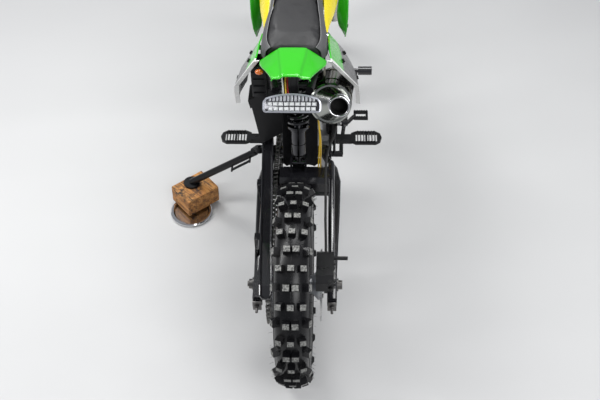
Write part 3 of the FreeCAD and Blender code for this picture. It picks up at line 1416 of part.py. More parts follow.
def foot_pegs():
    """Open pegs with toothed rails, on brackets of the frame plates."""
    solids = []
    wide = number(s.peg_wide) / 2
    y = number(s.peg_y)
    z = number(s.peg_z)
    inner = number(s.peg_inner)
    outer = number(s.peg_outer)
    rise = number(s.peg_rise)
    face = number(s.plate_inner + s.plate_thick)
    for side in (-1, 1):
        # Outline: x, distance from the peg's middle line
        line = [(inner, 8 - wide), (inner + 14, -wide), (outer - 18, -wide), (outer - 5, 9 - wide),
                (outer, 0), (outer - 5, wide - 9), (outer - 18, wide), (inner + 14, wide),
                (inner, wide - 8)]
        flat = Part.Face(polygon([Vector(side * x, y + across, z) for x, across in line]))
        peg = flat.extrude(Vector(0, 0, rise - 4))
        cross = (inner + outer) / 2
        wells = [Part.makeBox(cross - 3 - inner - 14, 2 * wide - 16, 40,
                              Vector(min(side * start, side * (start + cross - 3 - inner - 14)),
                                     y - wide + 8, z - 10)) for start in (inner + 14, cross + 3)]
        teeth = []
        for middle in (4 - wide, wide - 4):
            row = [Vector(side * x, y + middle - 2.5, z + up)
                   for x, up in saw(inner + 16, outer - 18, 0, rise, 8)]
            teeth.append(Part.Face(polygon(row)).extrude(Vector(0, 5, 0)))
        arm = Part.makeBox(inner + 4 - face, 26, 16,
                           Vector(min(side * face, side * (inner + 4)), y - 13, z - 8))
        solids.append(peg.cut(wells).multiFuse(teeth + [arm]).removeSplitter())
    return keep("foot_pegs", shaped("foot_pegs", Part.makeCompound(solids)))


def foot_controls():
    """Brake pedal with its cylinder on the right, shift lever on the left."""
    face = number(s.plate_inner + s.plate_thick)
    pedal = tube([Vector(120, 470, 300), Vector(120, 520, 292), Vector(128, 590, 306),
                  Vector(160, 622, 318)], 6, 18)
    pad_loop = Part.makeBox(44, 36, 7, Vector(158, 608, 314))
    pad_loop = pad_loop.cut(Part.makeBox(30, 20, 20, Vector(165, 616, 308)))
    teeth = []
    for y in (608, 636):
        row = [Vector(x, y, z) for x, z in saw(158, 202, 316, 325, 7.3)]
        teeth.append(Part.Face(polygon(row)).extrude(Vector(0, 8, 0)))
    hub = Part.makeCylinder(9, 124 - face, Vector(face + 0.3, 470, 300), Vector(1, 0, 0))
    cylinder = Part.makeBox(16, 22, 52, Vector(face + 0.3, 455, 386))
    link = Part.makeCylinder(4, 92, Vector(face + 8, 466, 300), Vector(0, 0, 1))
    brake = pedal.multiFuse([pad_loop, hub, cylinder, link] + teeth)
    lever = tube([Vector(-96, 596, 322), Vector(-100, 640, 330), Vector(-108, 704, 326),
                  Vector(-122, 716, 324)], 5, 12)
    knob = Part.makeCylinder(8, 34, Vector(-152, 716, 324), Vector(1, 0, 0))
    spindle = Part.makeCylinder(8, 18, Vector(-98, 596, 322), Vector(1, 0, 0))
    shift = lever.multiFuse([knob, spindle])
    return keep("foot_controls", shaped("foot_controls", Part.makeCompound([brake, shift])))


def kick_starter():
    """Crank with a folding pedal and its rubber."""
    hub_x = number(s.case_right) + 54 + number(s.fit_gap)
    shaft = Vector(hub_x, number(s.case_back) + 66, number(s.case_low) + 118)
    hub = Part.makeCylinder(15, 22, shaft, Vector(1, 0, 0))
    middle = hub_x + 14
    crank = tube([Vector(middle, shaft.y, shaft.z), Vector(middle, shaft.y - 6, 420),
                  Vector(155, 524, 540), Vector(155, 519, 574)], 7, 40)
    step = Part.makeCylinder(6, 40, Vector(150, 519, 572), Vector(1, 0, 0))
    rubber = Part.makeCylinder(12, 38, Vector(163, 519, 572), Vector(1, 0, 0))
    return keep("kick_starter", shaped("kick_starter", crank.multiFuse([hub, step, rubber])))


# Steering

def fork_crown():
    """Lower and upper fork crowns on the stem."""
    lead = number(s.fork_lead)
    x = number(s.fork_x)
    lower = [(-x - 30, lead - 16), (-x, lead - 34), (-18, -17), (18, -17), (x, lead - 34),
             (x + 30, lead - 16), (x + 30, lead + 16), (x, lead + 33), (46, lead + 16),
             (-46, lead + 16), (-x, lead + 33), (-x - 30, lead + 16)]
    up = Vector(0, 0, 1)
    solids = []
    levels = ((number(s.crown_low), number(s.crown_thick)),
              (number(s.crown_low + s.crown_thick + s.head_length), number(s.bridge_thick)))
    for start, thick in levels:
        line = polygon([Vector(u, v, start) for u, v in lower])
        solids.append(Part.Face(line).extrude(up * thick))
    top = number(s.crown_low + s.crown_thick + s.head_length + s.bridge_thick)
    solids.append(Part.makeCylinder(number(s.stem_radius), top - number(s.crown_low) + 8,
                                    Vector(0, 0, number(s.crown_low)), up))
    for side in (-1, 1):
        solids.append(Part.makeBox(26, 30, 34, Vector(side * 48 - 13, 5, top - 1)))
    bores = [Part.makeCylinder(number(s.fork_upper) + 0.1, 260,
                               Vector(side * x, lead, 480), up) for side in (-1, 1)]
    bar = Part.makeCylinder(number(s.bar_radius) + 0.15, 200, Vector(-100, 20, top + 31),
                            Vector(1, 0, 0))
    crown = solids[0].multiFuse(solids[1:]).cut(bores + [bar])
    crown.Placement = STEER
    return keep("fork_crown", shaped("fork_crown", crown))


def fork_legs():
    """Inverted legs: wide upper tubes, bright lower tubes, axle lugs and caliper."""
    solids = []
    top = s.crown_low + s.crown_thick + s.head_length + s.bridge_thick + 10
    for label, side in SIDES:
        outline = [
            (0, -22), (s.fork_lower + 3, -22), (s.fork_lower + 3, 34), (s.fork_lower, 38),
            (s.fork_lower, s.fork_overlap), (s.fork_upper + 2, s.fork_overlap),
            (s.fork_upper + 2, s.fork_overlap + 26), (s.fork_upper, s.fork_overlap + 28),
            (s.fork_upper, top), (s.fork_upper - 6, top + 5), (0, top + 5),
        ]
        foot = steer_point(s.fork_x * side, s.fork_lead, 0)
        leg = turned(f"fork_leg_{label}", outline, foot, foot.add(STEER_UP))
        doc.recompute()
        bore = Part.makeCylinder(number(s.axle_radius) + 0.1, 100,
                                 Vector(foot.x - 50, FRONT_AXLE.y, FRONT_AXLE.z),
                                 Vector(1, 0, 0))
        shape = leg.Shape.cut(bore)
        if side < 0:
            shape = shape.fuse(front_caliper())
        solids.append(shape)
    return keep("fork_legs", shaped("fork_legs", Part.makeCompound(solids)))


def front_caliper():
    """Caliper astride the front disc, behind the left leg."""
    radius = number(s.front_disc_radius)
    outer = number(s.front_disc_x)
    box = Part.makeBox(40, 62, 46, Vector(-outer - 26, FRONT_AXLE.y - 108, FRONT_AXLE.z + 44))
    arm = Part.makeBox(12, 96, 18, Vector(-outer - 26, FRONT_AXLE.y - 98, FRONT_AXLE.z + 56))
    gap = Part.makeCylinder(radius + 4, number(s.disc_thick) + 7,
                            Vector(-outer - number(s.disc_thick) / 2 - 3.5,
                                   FRONT_AXLE.y, FRONT_AXLE.z), Vector(1, 0, 0))
    return box.cut(gap).fuse(arm)


def front_axle():
    reach = s.fork_x + s.fork_lower + 3
    r = s.axle_radius
    near = s.fork_x - s.fork_lower - 3
    hollow = s.axle_bore
    outline = [
        (hollow, -reach - 8), (12, -reach - 8), (12, -reach - s.fit_gap), (r, -reach - s.fit_gap),
        (r, -near + s.fit_gap), (11, -near + s.fit_gap), (11, -66.5), (r, -66.5),
        (r, 66.5), (11, 66.5), (11, near - s.fit_gap), (r, near - s.fit_gap),
        (r, reach + s.fit_gap), (12, reach + s.fit_gap), (12, reach + 10), (hollow, reach + 10),
    ]
    return keep("front_axle", turned("front_axle", outline, FRONT_AXLE,
                                     FRONT_AXLE.add(Vector(1, 0, 0))))


def bar_points():
    """Half of the handlebar's route, from the grip's end to the clamp."""
    top = number(s.crown_low + s.crown_thick + s.head_length + s.bridge_thick)
    middle = steer_point(0, 20, top + 31)
    rise = number(s.bar_rise)
    sweep = number(s.bar_sweep)
    return [Vector(number(s.bar_half), middle.y - sweep, middle.z + rise),
            Vector(number(s.bar_half - s.bar_straight), middle.y - sweep * 0.24,
                   middle.z + rise * 0.86),
            Vector(104, middle.y, middle.z)], middle


def handlebar():
    half, middle = bar_points()
    left = [Vector(-corner.x, corner.y, corner.z) for corner in half]
    bar = tube(left + half[::-1], s.bar_radius, 60)
    bores = [Part.makeCylinder(number(s.bar_bore), number(s.bar_bore_depth), points[0],
                               points[1].sub(points[0])) for points in (half, left)]
    return keep("handlebar", shaped("handlebar", bar.cut(bores)))


def grips():
    half, middle = bar_points()
    end, inner = half[0], half[1]
    solids = []
    length = number(s.grip_length)
    for side in (-1, 1):
        tip = Vector(side * end.x, end.y, end.z)
        along = Vector(side * inner.x, inner.y, inner.z).sub(tip).normalize()
        sleeve = Part.makeCylinder(number(s.grip_radius), length, tip, along)
        collar = Part.makeCylinder(number(s.grip_radius) + 8, 5, tip.add(along * length), along)
        bore = Part.makeCylinder(number(s.bar_radius) + 0.1, length + 20,
                                 tip.sub(along * 5), along)
        solids.append(sleeve.fuse(collar).cut(bore))
    return keep("grips", shaped("grips", Part.makeCompound(solids)))


def control_levers():
    """Lever perches clamped on the bar with the clutch and brake levers."""
    half, middle = bar_points()
    end, inner = half[0], half[1]
    solids = []
    for side in (-1, 1):
        tip = Vector(side * end.x, end.y, end.z)
        along = Vector(side * inner.x, inner.y, inner.z).sub(tip).normalize()
        start = tip.add(along * (number(s.grip_length) + 9))
        spin = Rotation(along, Vector(0, 1, 0), Vector(0, 0, 1), "XYZ")
        clamp = Part.makeCylinder(17, 24, start, along)
        pivot = start.add(along * 10).add(Vector(0, 34, 0))
        perch = Part.makeBox(22, 34, 16, Vector(-11, 0, -8))
        perch.Placement = Placement(start.add(along * 12), spin)
        blade = tube([pivot, pivot.sub(along * 40).add(Vector(0, 12, 0)),
                      tip.add(Vector(0, 52, -4)).add(along * 14)], 5, 20)
        bore = Part.makeCylinder(number(s.bar_radius) + 0.1, 60, start.sub(along * 10), along)
        solids.append(clamp.multiFuse([perch, blade]).cut(bore))
    return keep("control_levers", shaped("control_levers", Part.makeCompound(solids)))


def number_plate():
    """Front plate that stands on the fork crowns."""
    top = number(s.crown_low + s.crown_thick + s.head_length + s.bridge_thick)
    low = number(s.crown_low)
    line = [(-66, low + 4), (66, low + 4), (92, low + 90), (84, top + 20), (56, top + 48),
            (-56, top + 48), (-84, top + 20), (-92, low + 90)]
    ahead = number(s.fork_lead) + number(s.fork_upper) + 14
    flat = Part.Face(polygon([Vector(u, ahead, v) for u, v in line]))
    board = flat.extrude(Vector(0, number(s.skin), 0))
    crown_face = number(s.fork_lead) + 16 + number(s.fit_gap)
    stays = [Part.makeBox(10, ahead - crown_face + 1, 12, Vector(x, crown_face, low + 10))
             for x in (-30, 20)]
    shape = board.multiFuse(stays)
    shape.Placement = STEER
    return keep("number_plate", shaped("number_plate", shape))


# Stand

def side_stand():
    """Leg that hangs from the lug, with a round foot."""
    along = STAND_FOOT.sub(STAND_PIVOT).normalize()
    flat = along.sub(STAND_AXIS * along.dot(STAND_AXIS)).normalize()
    across = STAND_AXIS.cross(flat)
    head = Part.makeCylinder(13, 8, STAND_PIVOT.sub(STAND_AXIS * 8), STAND_AXIS)
    tab = Part.makeBox(24, 22, 8, Vector(0, -11, -8))
    tab.Placement = Placement(STAND_PIVOT, Rotation(flat, across, STAND_AXIS))
    bore = Part.makeCylinder(5 + number(s.run_gap), 40,
                             STAND_PIVOT.sub(STAND_AXIS * 20), STAND_AXIS)
    recess = Part.makeCylinder(9.5, 20, STAND_PIVOT.sub(STAND_AXIS * 28), STAND_AXIS)
    top = STAND_PIVOT.add(along * 16).sub(STAND_AXIS * 3)
    ankle = STAND_FOOT.add(UP * number(s.foot_thick))
    leg = Part.makeCylinder(number(s.leg_radius), ankle.sub(top).Length, top, ankle.sub(top))
    base = Part.makeCylinder(number(s.foot_radius), number(s.foot_thick), STAND_FOOT, UP)
    above = Part.makeBox(400, 400, 60, Vector(-200, -200, -60))
    above.Placement = Placement(STAND_FOOT, Rotation(Vector(0, 0, 1), UP))
    behind = Vector(0, -1, 0)
    hooks = [STAND_PIVOT.add(along * far).sub(STAND_AXIS * 9) for far in (40, 120)]
    pegs = [Part.makeCylinder(3, 26, hook, behind) for hook in hooks]
    ends = [hook.add(behind * 20) for hook in hooks]
    spring = Part.makeCylinder(4, ends[1].sub(ends[0]).Length, ends[0], ends[1].sub(ends[0]))
    shape = head.multiFuse([tab, leg, base, spring] + pegs).cut([bore, recess, above])
    return keep("side_stand", shaped("side_stand", shape.removeSplitter()))


# Block and dish, which lie level on the floor

RIGHT = Vector(math.cos(LEAN_ANGLE), 0, -math.sin(LEAN_ANGLE))
PAIR_X, PAIR_WIDE = LUG_ROWS[0][0][0], LUG_ROWS[0][0][3]
CROWN_EDGE = (PAIR_X + PAIR_WIDE / 2 * LUG_TAPER) * number(s.rear_width) / LUG_HALF
FLOOR = -CROWN_EDGE * math.sin(LEAN_ANGLE)


def floor_point(x, y, height):
    """Point at level coordinates, with its height above the floor."""
    return RIGHT * number(x) + Vector(0, number(y), 0) + UP * (number(height) + FLOOR)


def stand_block():
    """Wood block that carries the stand's foot."""
    level = STAND_FOOT.dot(UP) - FLOOR - number(s.fit_gap)
    base = number(s.tray_thick + s.fit_gap)
    box = doc.addObject("Part::Box", "stand_block")
    bind(box, "Length", s.block_long)
    bind(box, "Width", s.block_wide)
    box.Height = level - base
    level_turn = Rotation(RIGHT, Vector(0, 1, 0), UP)
    turn = level_turn.multiply(Rotation(Vector(0, 0, 1), number(s.block_turn)))
    corner = turn.multVec(point(-s.block_long / 2, -s.block_wide / 2, 0))
    box.Placement = Placement(floor_point(-s.block_x, s.block_y, base).add(corner), turn)
    return keep("stand_block", box)


def block_dish():
    """Shallow round dish with a raised rim, upside up under the block."""
    r = s.tray_radius
    thick = s.tray_thick
    outline = [(0, 0), (r - 3, 0), (r, 4), (r, thick - 3), (r - 3, thick), (r - 9, thick),
               (r - 13, thick - 4), (r - 14, 4), (0, 4)]
    start = floor_point(-s.tray_x, s.tray_y, 0)
    return keep("block_dish", turned("block_dish", outline, start, start.add(UP)))


def stand_on_floor():
    """Lean every sub-part and move the middle of the whole to the origin."""
    lean = Placement(Vector(), Rotation(Vector(0, 1, 0), -number(s.lean)))
    box = FreeCAD.BoundBox()
    for made in parts.values():
        leaned = made.Shape.copy()
        leaned.Placement = lean.multiply(leaned.Placement)
        box.add(leaned.optimalBoundingBox(False, False))
    shift = Vector(-box.Center.x, -box.Center.y, -FLOOR)
    place = Placement(shift, Rotation()).multiply(lean)
    for made in parts.values():
        made.Placement = place.multiply(made.Placement)
    return place


def build():
    wheels()
    chain()
    swingarm()
    rear_axle()
    rear_caliper()
    brake_hose()
    chain_guard()
    shock()
    frame_backbone()
    frame_downtube()
    frame_plates()
    subframe()
    engine_case()
    engine_cylinder()
    carburettor()
    exhaust()
    airbox()
    seat()
    fuel_tank()
    shrouds()
    side_panels()
    rear_fender()
    front_fender()
    inner_fender()
    tail_light()
    foot_pegs()
    foot_controls()
    kick_starter()
    fork_crown()
    fork_legs()
    front_axle()
    handlebar()
    grips()
    control_levers()
    number_plate()
    side_stand()
    stand_block()
    block_dish()


def check():
    """Stop before anything is written if a feature failed."""
    for item in doc.Objects:
        failed = [word for word in item.State if word in ("Invalid", "Error")]
        if failed:
            raise RuntimeError(f"{item.Name} failed: {item.State}")
    for name, made in parts.items():
        if made.Shape.isNull() or not made.Shape.isValid():
            raise RuntimeError(f"{name} has no valid shape")


build()
doc.recompute()
PLACE = stand_on_floor()
doc.recompute()
check()
os.makedirs("parts", exist_ok=True)
for name, made in parts.items():
    made.Shape.exportStep(f"parts/{name}.step")
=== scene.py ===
import json
import math
import random

import bpy
from mathutils import Matrix, Vector


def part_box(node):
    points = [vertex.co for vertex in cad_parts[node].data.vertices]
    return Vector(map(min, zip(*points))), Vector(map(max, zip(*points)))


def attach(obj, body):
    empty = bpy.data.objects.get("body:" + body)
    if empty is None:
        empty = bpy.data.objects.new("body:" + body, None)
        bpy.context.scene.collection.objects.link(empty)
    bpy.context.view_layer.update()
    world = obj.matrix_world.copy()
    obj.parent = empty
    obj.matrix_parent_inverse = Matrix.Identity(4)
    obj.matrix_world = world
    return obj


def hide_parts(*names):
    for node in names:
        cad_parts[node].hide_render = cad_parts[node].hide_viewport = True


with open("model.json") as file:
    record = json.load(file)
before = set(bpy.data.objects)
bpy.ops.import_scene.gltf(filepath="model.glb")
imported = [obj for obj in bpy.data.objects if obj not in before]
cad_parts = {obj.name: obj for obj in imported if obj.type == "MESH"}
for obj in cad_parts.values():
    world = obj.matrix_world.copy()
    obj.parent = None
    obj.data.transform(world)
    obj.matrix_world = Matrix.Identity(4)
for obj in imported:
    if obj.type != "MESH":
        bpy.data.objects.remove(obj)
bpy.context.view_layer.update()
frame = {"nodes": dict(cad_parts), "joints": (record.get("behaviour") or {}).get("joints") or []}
nodes = frame["nodes"]
joints = {j["name"]: j for j in frame["joints"]}

# The bike is drawn upright in millimetres, X right, Y forward, Z up from under
# the rear axle, and then leaned onto its stand by this one turn and shift.
LEAN = math.radians(2.5)
AXLE_HEIGHT = 0.268
SHIFT = Vector(joints["rear_wheel_spin"]["pos_m"]) - (
    Matrix.Rotation(-LEAN, 3, "Y") @ Vector((0, 0, AXLE_HEIGHT)))
BIKE = Matrix.Translation(SHIFT) @ Matrix.Rotation(-LEAN, 4, "Y")
MM = 0.001


def bike(x, y, z):
    """A point of the upright bike, in millimetres, where the leaning bike has it."""
    return BIKE @ Vector((x * MM, y * MM, z * MM))


# Camera: fitted to the wheel, the arms and the pegs of the photograph
PHOTO_WIDTH = 600
FOCAL_PIXELS = 839.46
SENSOR = 36.0
CAMERA_PLACE = SHIFT + Vector((0.0088, -1.3702, 2.0178))
CAMERA_DOWN = math.radians(46.2)
CAMERA_YAW = math.radians(-0.65)
CAMERA_ROLL = math.radians(1.8)


def add_camera():
    ahead = Vector((math.sin(CAMERA_YAW) * math.cos(CAMERA_DOWN),
                    math.cos(CAMERA_YAW) * math.cos(CAMERA_DOWN), -math.sin(CAMERA_DOWN)))
    level = Vector((math.cos(CAMERA_YAW), -math.sin(CAMERA_YAW), 0))
    upright = level.cross(ahead)
    right = level * math.cos(CAMERA_ROLL) + upright * math.sin(CAMERA_ROLL)
    top = upright * math.cos(CAMERA_ROLL) - level * math.sin(CAMERA_ROLL)
    lens = bpy.data.cameras.new("camera")
    lens.sensor_width = SENSOR
    lens.lens = FOCAL_PIXELS / PHOTO_WIDTH * SENSOR
    lens.clip_start = 0.05
    camera = bpy.data.objects.new("camera", lens)
    bpy.context.scene.collection.objects.link(camera)
    turn = Matrix((right, top, -ahead)).transposed()
    camera.matrix_world = Matrix.Translation(CAMERA_PLACE) @ turn.to_4x4()
    bpy.context.scene.camera = camera


# Materials


class Finish:
    """A node material with its shader, and small calls that add nodes to it."""

    def __init__(self, name):
        self.material = bpy.data.materials.new(name)
        self.material.use_nodes = True
        self.tree = self.material.node_tree
        self.tree.nodes.clear()
        self.shader = self.add("BsdfPrincipled")
        self.add("OutputMaterial", Surface=self.shader.outputs["BSDF"])
        self.place = self.add("TexCoord").outputs["Object"]

    def feed(self, socket, value):
        """Links a socket to another node's output, or sets it to a value."""
        if isinstance(value, bpy.types.NodeSocket):
            self.tree.links.new(value, socket)
        else:
            socket.default_value = value

    def fill(self, node, inputs):
        for name, value in inputs.items():
            self.feed(node.inputs[name.replace("_", " ")], value)

    def add(self, kind, **inputs):
        node = self.tree.nodes.new("ShaderNode" + kind)
        self.fill(node, inputs)
        return node

    def set(self, **inputs):
        self.fill(self.shader, inputs)
        return self

    def noise(self, scale, detail=4.0, rough=0.55, stretch=None, source=None):
        """Noise over the object's places, or over other places, stretched or not."""
        source = source or self.place
        if stretch:
            source = self.add("Mapping", Vector=source, Scale=stretch).outputs["Vector"]
        node = self.add("TexNoise", Vector=source, Scale=scale, Detail=detail, Roughness=rough)
        return node.outputs["Fac"]

    def turned(self, degrees):
        """Places turned about the upright axis."""
        turn = (0, 0, math.radians(degrees))
        return self.add("Mapping", Vector=self.place, Rotation=turn).outputs["Vector"]

    def ramp(self, source, *stops):
        node = self.add("ValToRGB", Fac=source)
        bar = node.color_ramp
        while len(bar.elements) < len(stops):
            bar.elements.new(0.5)
        for element, (where, colour) in zip(bar.elements, stops):
            element.position = where
            element.color = (*colour, 1.0)
        return node.outputs["Color"]

    def levels(self, source, low, high, to_low=0.0, to_high=1.0):
        return self.add("MapRange", Value=source, From_Min=low, From_Max=high,
                        To_Min=to_low, To_Max=to_high).outputs["Result"]

    def mix(self, share, first, second):
        node = self.add("Mix")
        node.data_type = "RGBA"
        self.fill(node, {"Factor": share})
        for socket, value in zip(node.inputs[6:8], (first, second)):
            self.feed(socket, (*value, 1.0) if isinstance(value, tuple) else value)
        return node.outputs[2]

    def math(self, operation, first, second, kind="Math"):
        node = self.add(kind)
        node.operation = operation
        self.feed(node.inputs[0], first)
        self.feed(node.inputs[1], second)
        return node.outputs["Value"]

    def past(self, at, toward):
        """Distance in millimetres past a plane given by a point and its direction."""
        way = (BIKE.to_3x3() @ Vector(toward)).normalized()
        gone = self.math("DOT_PRODUCT", self.place, way, "VectorMath")
        return self.math("MULTIPLY", self.math("SUBTRACT", gone, way.dot(bike(*at))), 1 / MM)

    def colour(self, source):
        return self.set(Base_Color=source)

    def rough(self, source, low, high, first=0.3, last=0.7):
        """Roughness from low to high where the source goes from first to last."""
        return self.set(Roughness=self.levels(source, first, last, low, high))

    def bump(self, source, depth):
        """Raises the surface by millimetres, over any bump it has already."""
        node = self.add("Bump", Height=source, Distance=depth * MM, Strength=1.0)
        before = self.shader.inputs["Normal"]
        if before.is_linked:
            self.fill(node, {"Normal": before.links[0].from_socket})
        return self.set(Normal=node.outputs["Normal"])


LIME = (0.03, 0.455, 0.01)
WHITE = (0.82, 0.82, 0.8)
YELLOW = (0.8, 0.66, 0.02)
INK = (0.006, 0.006, 0.007)
DUST = (0.34, 0.32, 0.29)


def shade(colour, by):
    return tuple(min(1.0, c * by) for c in colour)


def plain(name, colour, rough, vary=0.12, patch=18.0, grain=900.0, depth=0.03, **sockets):
    """Even paint, plastic or rubber: cloudy tone, patchy gloss and a fine grain."""
    f = Finish(name)
    f.colour(f.mix(f.noise(patch, 5.0), shade(colour, 1 - vary), shade(colour, 1 + vary)))
    f.rough(f.noise(patch * 2.3, 6.0), rough * 0.8, min(1.0, rough * 1.25))
    f.bump(f.noise(grain, 3.0), depth)
    return f.set(**sockets)


def metal(name, colour, rough, lines=None, depth=0.02):
    """Metal with fine lines along one way, or an even satin when lines is None."""
    f = Finish(name)
    f.colour(f.mix(f.noise(24.0, 6.0, 0.6), shade(colour, 0.82), shade(colour, 1.1)))
    fine = f.noise(260.0, 4.0, 0.6, lines)
    f.rough(fine, rough * 0.75, rough * 1.25)
    return f.bump(fine, depth).set(Metallic=1.0)


def tyre_finish():
    """Black rubber with pale dust in patches and specks."""
    colour, rough, dusty = (0.005, 0.005, 0.006), 0.27, 0.03
    f = Finish("tyre rubber")
    patches = f.levels(f.noise(9.0, 8.0, 0.65), 0.48, 0.75, 0.0, dusty)
    specks = f.levels(f.noise(420.0, 3.0), 0.62, 0.72, 0.0, dusty)
    share = f.math("MAXIMUM", patches, specks)
    tone = f.mix(f.noise(30.0), shade(colour, 0.8), shade(colour, 1.25))
    f.colour(f.mix(share, tone, DUST))
    f.rough(share, rough, 0.85, 0.0, 1.0)
    return f.bump(f.noise(700.0, 4.0), 0.05).set(Specular_IOR_Level=0.3)


def worn_tread():
    """The tops of the lugs: pale dust with dark cracks and specks."""
    f = Finish("worn tread")
    cracks = f.noise(260.0, 6.0, 0.7)
    f.colour(f.ramp(cracks, (0.4, (0.03, 0.03, 0.03)), (0.5, (0.2, 0.2, 0.19)),
                    (0.66, (0.34, 0.34, 0.32))))
    return f.bump(cracks, 0.5).set(Roughness=0.8)


def cast_finish():
    """Sand-cast metal: coarse skin, darker hollows."""
    colour, rough = (0.56, 0.57, 0.58), 0.42
    f = Finish("cast engine metal")
    skin = f.noise(520.0, 5.0, 0.7)
    stain = f.noise(16.0, 7.0, 0.62)
    f.colour(f.mix(f.levels(stain, 0.35, 0.7), shade(colour, 0.55), colour))
    f.rough(skin, rough * 0.8, rough * 1.25, 0.2, 0.8)
    return f.bump(skin, 0.09).bump(stain, 0.1).set(Metallic=0.85)


def wood_finish():
    """Warm sawn wood with burnt patches, its grain along the turned block."""
    f = Finish("worn wood")
    length = f.turned(BLOCK_TURN)
    grain = f.noise(60.0, 8.0, 0.62, (0.1, 1.0, 1.0), length)
    fine = f.noise(260.0, 5.0, 0.6, (0.06, 1.0, 1.0), length)
    base = f.ramp(grain, (0.3, (0.13, 0.048, 0.013)), (0.46, (0.42, 0.175, 0.042)),
                  (0.6, (0.62, 0.3, 0.085)), (0.72, (0.34, 0.13, 0.032)))
    streaked = f.mix(f.levels(fine, 0.36, 0.48), (0.07, 0.028, 0.01), base)
    burnt = f.levels(f.noise(34.0, 9.0, 0.72), 0.49, 0.58)
    low = f.levels(f.noise(13.0, 4.0, 0.6), 0.38, 0.56)
    f.colour(f.mix(f.math("MULTIPLY", burnt, low), streaked, (0.022, 0.013, 0.009)))
    f.rough(fine, 0.5, 0.8)
    return f.bump(fine, 0.35).bump(grain, 0.5)


def panel_finish():
    """White turned edge, a green patch over it and gloss black before it."""
    f = Finish("side panel")
    front = f.levels(f.past((0, 227, 821), (0, 0.8545, 0.5194)), 10.0, 10.6)
    low = f.levels(f.past((0, 330, 742), (0, -0.25, -1.0)), 0.0, 0.6)
    f.colour(f.mix(front, WHITE, f.mix(low, LIME, INK)))
    f.rough(f.noise(60.0, 5.0), 0.2, 0.3)
    return f.set(Coat_Weight=0.2)


def can_finish():
    """Dark brushed can with lighter cone and bright tip, by distance down its line."""
    f = Finish("silencer metal")
    cone = f.levels(f.past(CAN_BACK, CAN_WAY), -0.5, 0.5)
    tip = f.levels(f.past(CAN_BACK, CAN_WAY), 33.0, 34.0)
    streak = f.noise(90.0, 5.0, 0.6, (1, 0.08, 0.08))
    heat = f.mix(f.noise(12.0, 5.0), (0.145, 0.14, 0.115), (0.26, 0.25, 0.21))
    f.colour(f.mix(tip, f.mix(cone, heat, (0.34, 0.35, 0.33)), (0.62, 0.62, 0.63)))
    f.rough(streak, 0.1, 0.26)
    return f.bump(streak, 0.02).set(Metallic=1.0)


def finishes():
    return {
        "tyre rubber": tyre_finish(),
        "worn tread": worn_tread(),
        "rim": plain("black anodised rim", (0.012, 0.012, 0.014), 0.32, Metallic=0.7),
        "hub": metal("satin hub metal", (0.5, 0.51, 0.53), 0.34),
        "steel": metal("ground steel", (0.52, 0.52, 0.52), 0.28, (1, 12, 1)),
        "dark steel": metal("oiled steel", (0.16, 0.155, 0.15), 0.38),
        "gloss black": plain("gloss black paint", (0.01, 0.01, 0.012), 0.16,
                             patch=7.0, depth=0.006, Coat_Weight=0.6, Coat_Roughness=0.06),
        "frame black": plain("satin black paint", (0.007, 0.007, 0.008), 0.32, depth=0.02,
                             Specular_IOR_Level=0.3),
        "cast metal": cast_finish(),
        "can": can_finish(),
        "panel": panel_finish(),
        # Shock body: dark shiny metal whose colour is darkened as a painted dark reflection, in
        # place of the dark surroundings the chrome mirrors
        "chrome with painted dark reflection": metal("chrome with painted dark reflection", (0.085, 0.085, 0.09), 0.13, depth=0.003),
        "soot": plain("sooty bore", (0.004, 0.004, 0.004), 0.8),
        "screw": metal("zinc screw", (0.55, 0.55, 0.54), 0.26),
        "black screw": metal("black screw", (0.05, 0.05, 0.05), 0.32),
        "amber": plain("amber lens", (0.75, 0.16, 0.01), 0.15, depth=0.004, Coat_Weight=1.0),
        "red wire": plain("red wire", (0.45, 0.01, 0.01), 0.4),
        "yellow wire": plain("yellow wire", (0.7, 0.45, 0.02), 0.4),
        "white wire": plain("white wire", (0.7, 0.7, 0.68), 0.4),
        "chrome": metal("polished chrome", (0.72, 0.72, 0.73), 0.09, depth=0.002),
        "fork": metal("satin fork metal", (0.56, 0.56, 0.54), 0.26),
        "green": plain("gloss green plastic", LIME, 0.2, 0.06, depth=0.008,
                       Coat_Weight=0.3, Coat_Roughness=0.08),
        "white": plain("gloss white plastic", WHITE, 0.24, 0.04, depth=0.008, Coat_Weight=0.2),
        "yellow": plain("gloss yellow plastic", YELLOW, 0.25, 0.05, depth=0.008),
        "plastic": plain("grained black plastic", (0.009, 0.009, 0.01), 0.38, depth=0.05,
                         Specular_IOR_Level=0.3),
        "seat": plain("black seat vinyl", (0.016, 0.016, 0.017), 0.5, grain=520.0, depth=0.25),
        "seat side": plain("grey seat side", (0.085, 0.085, 0.088), 0.55, grain=600.0, depth=0.25),
        "piping": plain("pale piping", (0.2, 0.2, 0.2), 0.45, grain=800.0, depth=0.05),
        "lens": plain("clear lamp lens", (0.42, 0.43, 0.46), 0.12, depth=0.01, Coat_Weight=1.0),
        "lamp bezel": plain("silver lamp bezel", (0.5, 0.51, 0.56), 0.2, depth=0.004,
                            Metallic=0.5, Coat_Weight=0.6),
        "lamp cell": plain("lamp cell", (0.86, 0.87, 0.88), 0.12, 0.05, depth=0.004,
                           Coat_Weight=1.0),
        "reflector": metal("lamp reflector", (0.14, 0.14, 0.15), 0.15, depth=0.004),
        "chain metal": metal("oiled chain metal", (0.2, 0.195, 0.185), 0.3),
        "soft rubber": plain("black rubber", (0.014, 0.014, 0.014), 0.6, depth=0.05),
        "wood": wood_finish(),
        "dish": metal("dish chrome", (0.66, 0.66, 0.67), 0.14, depth=0.004),
    }


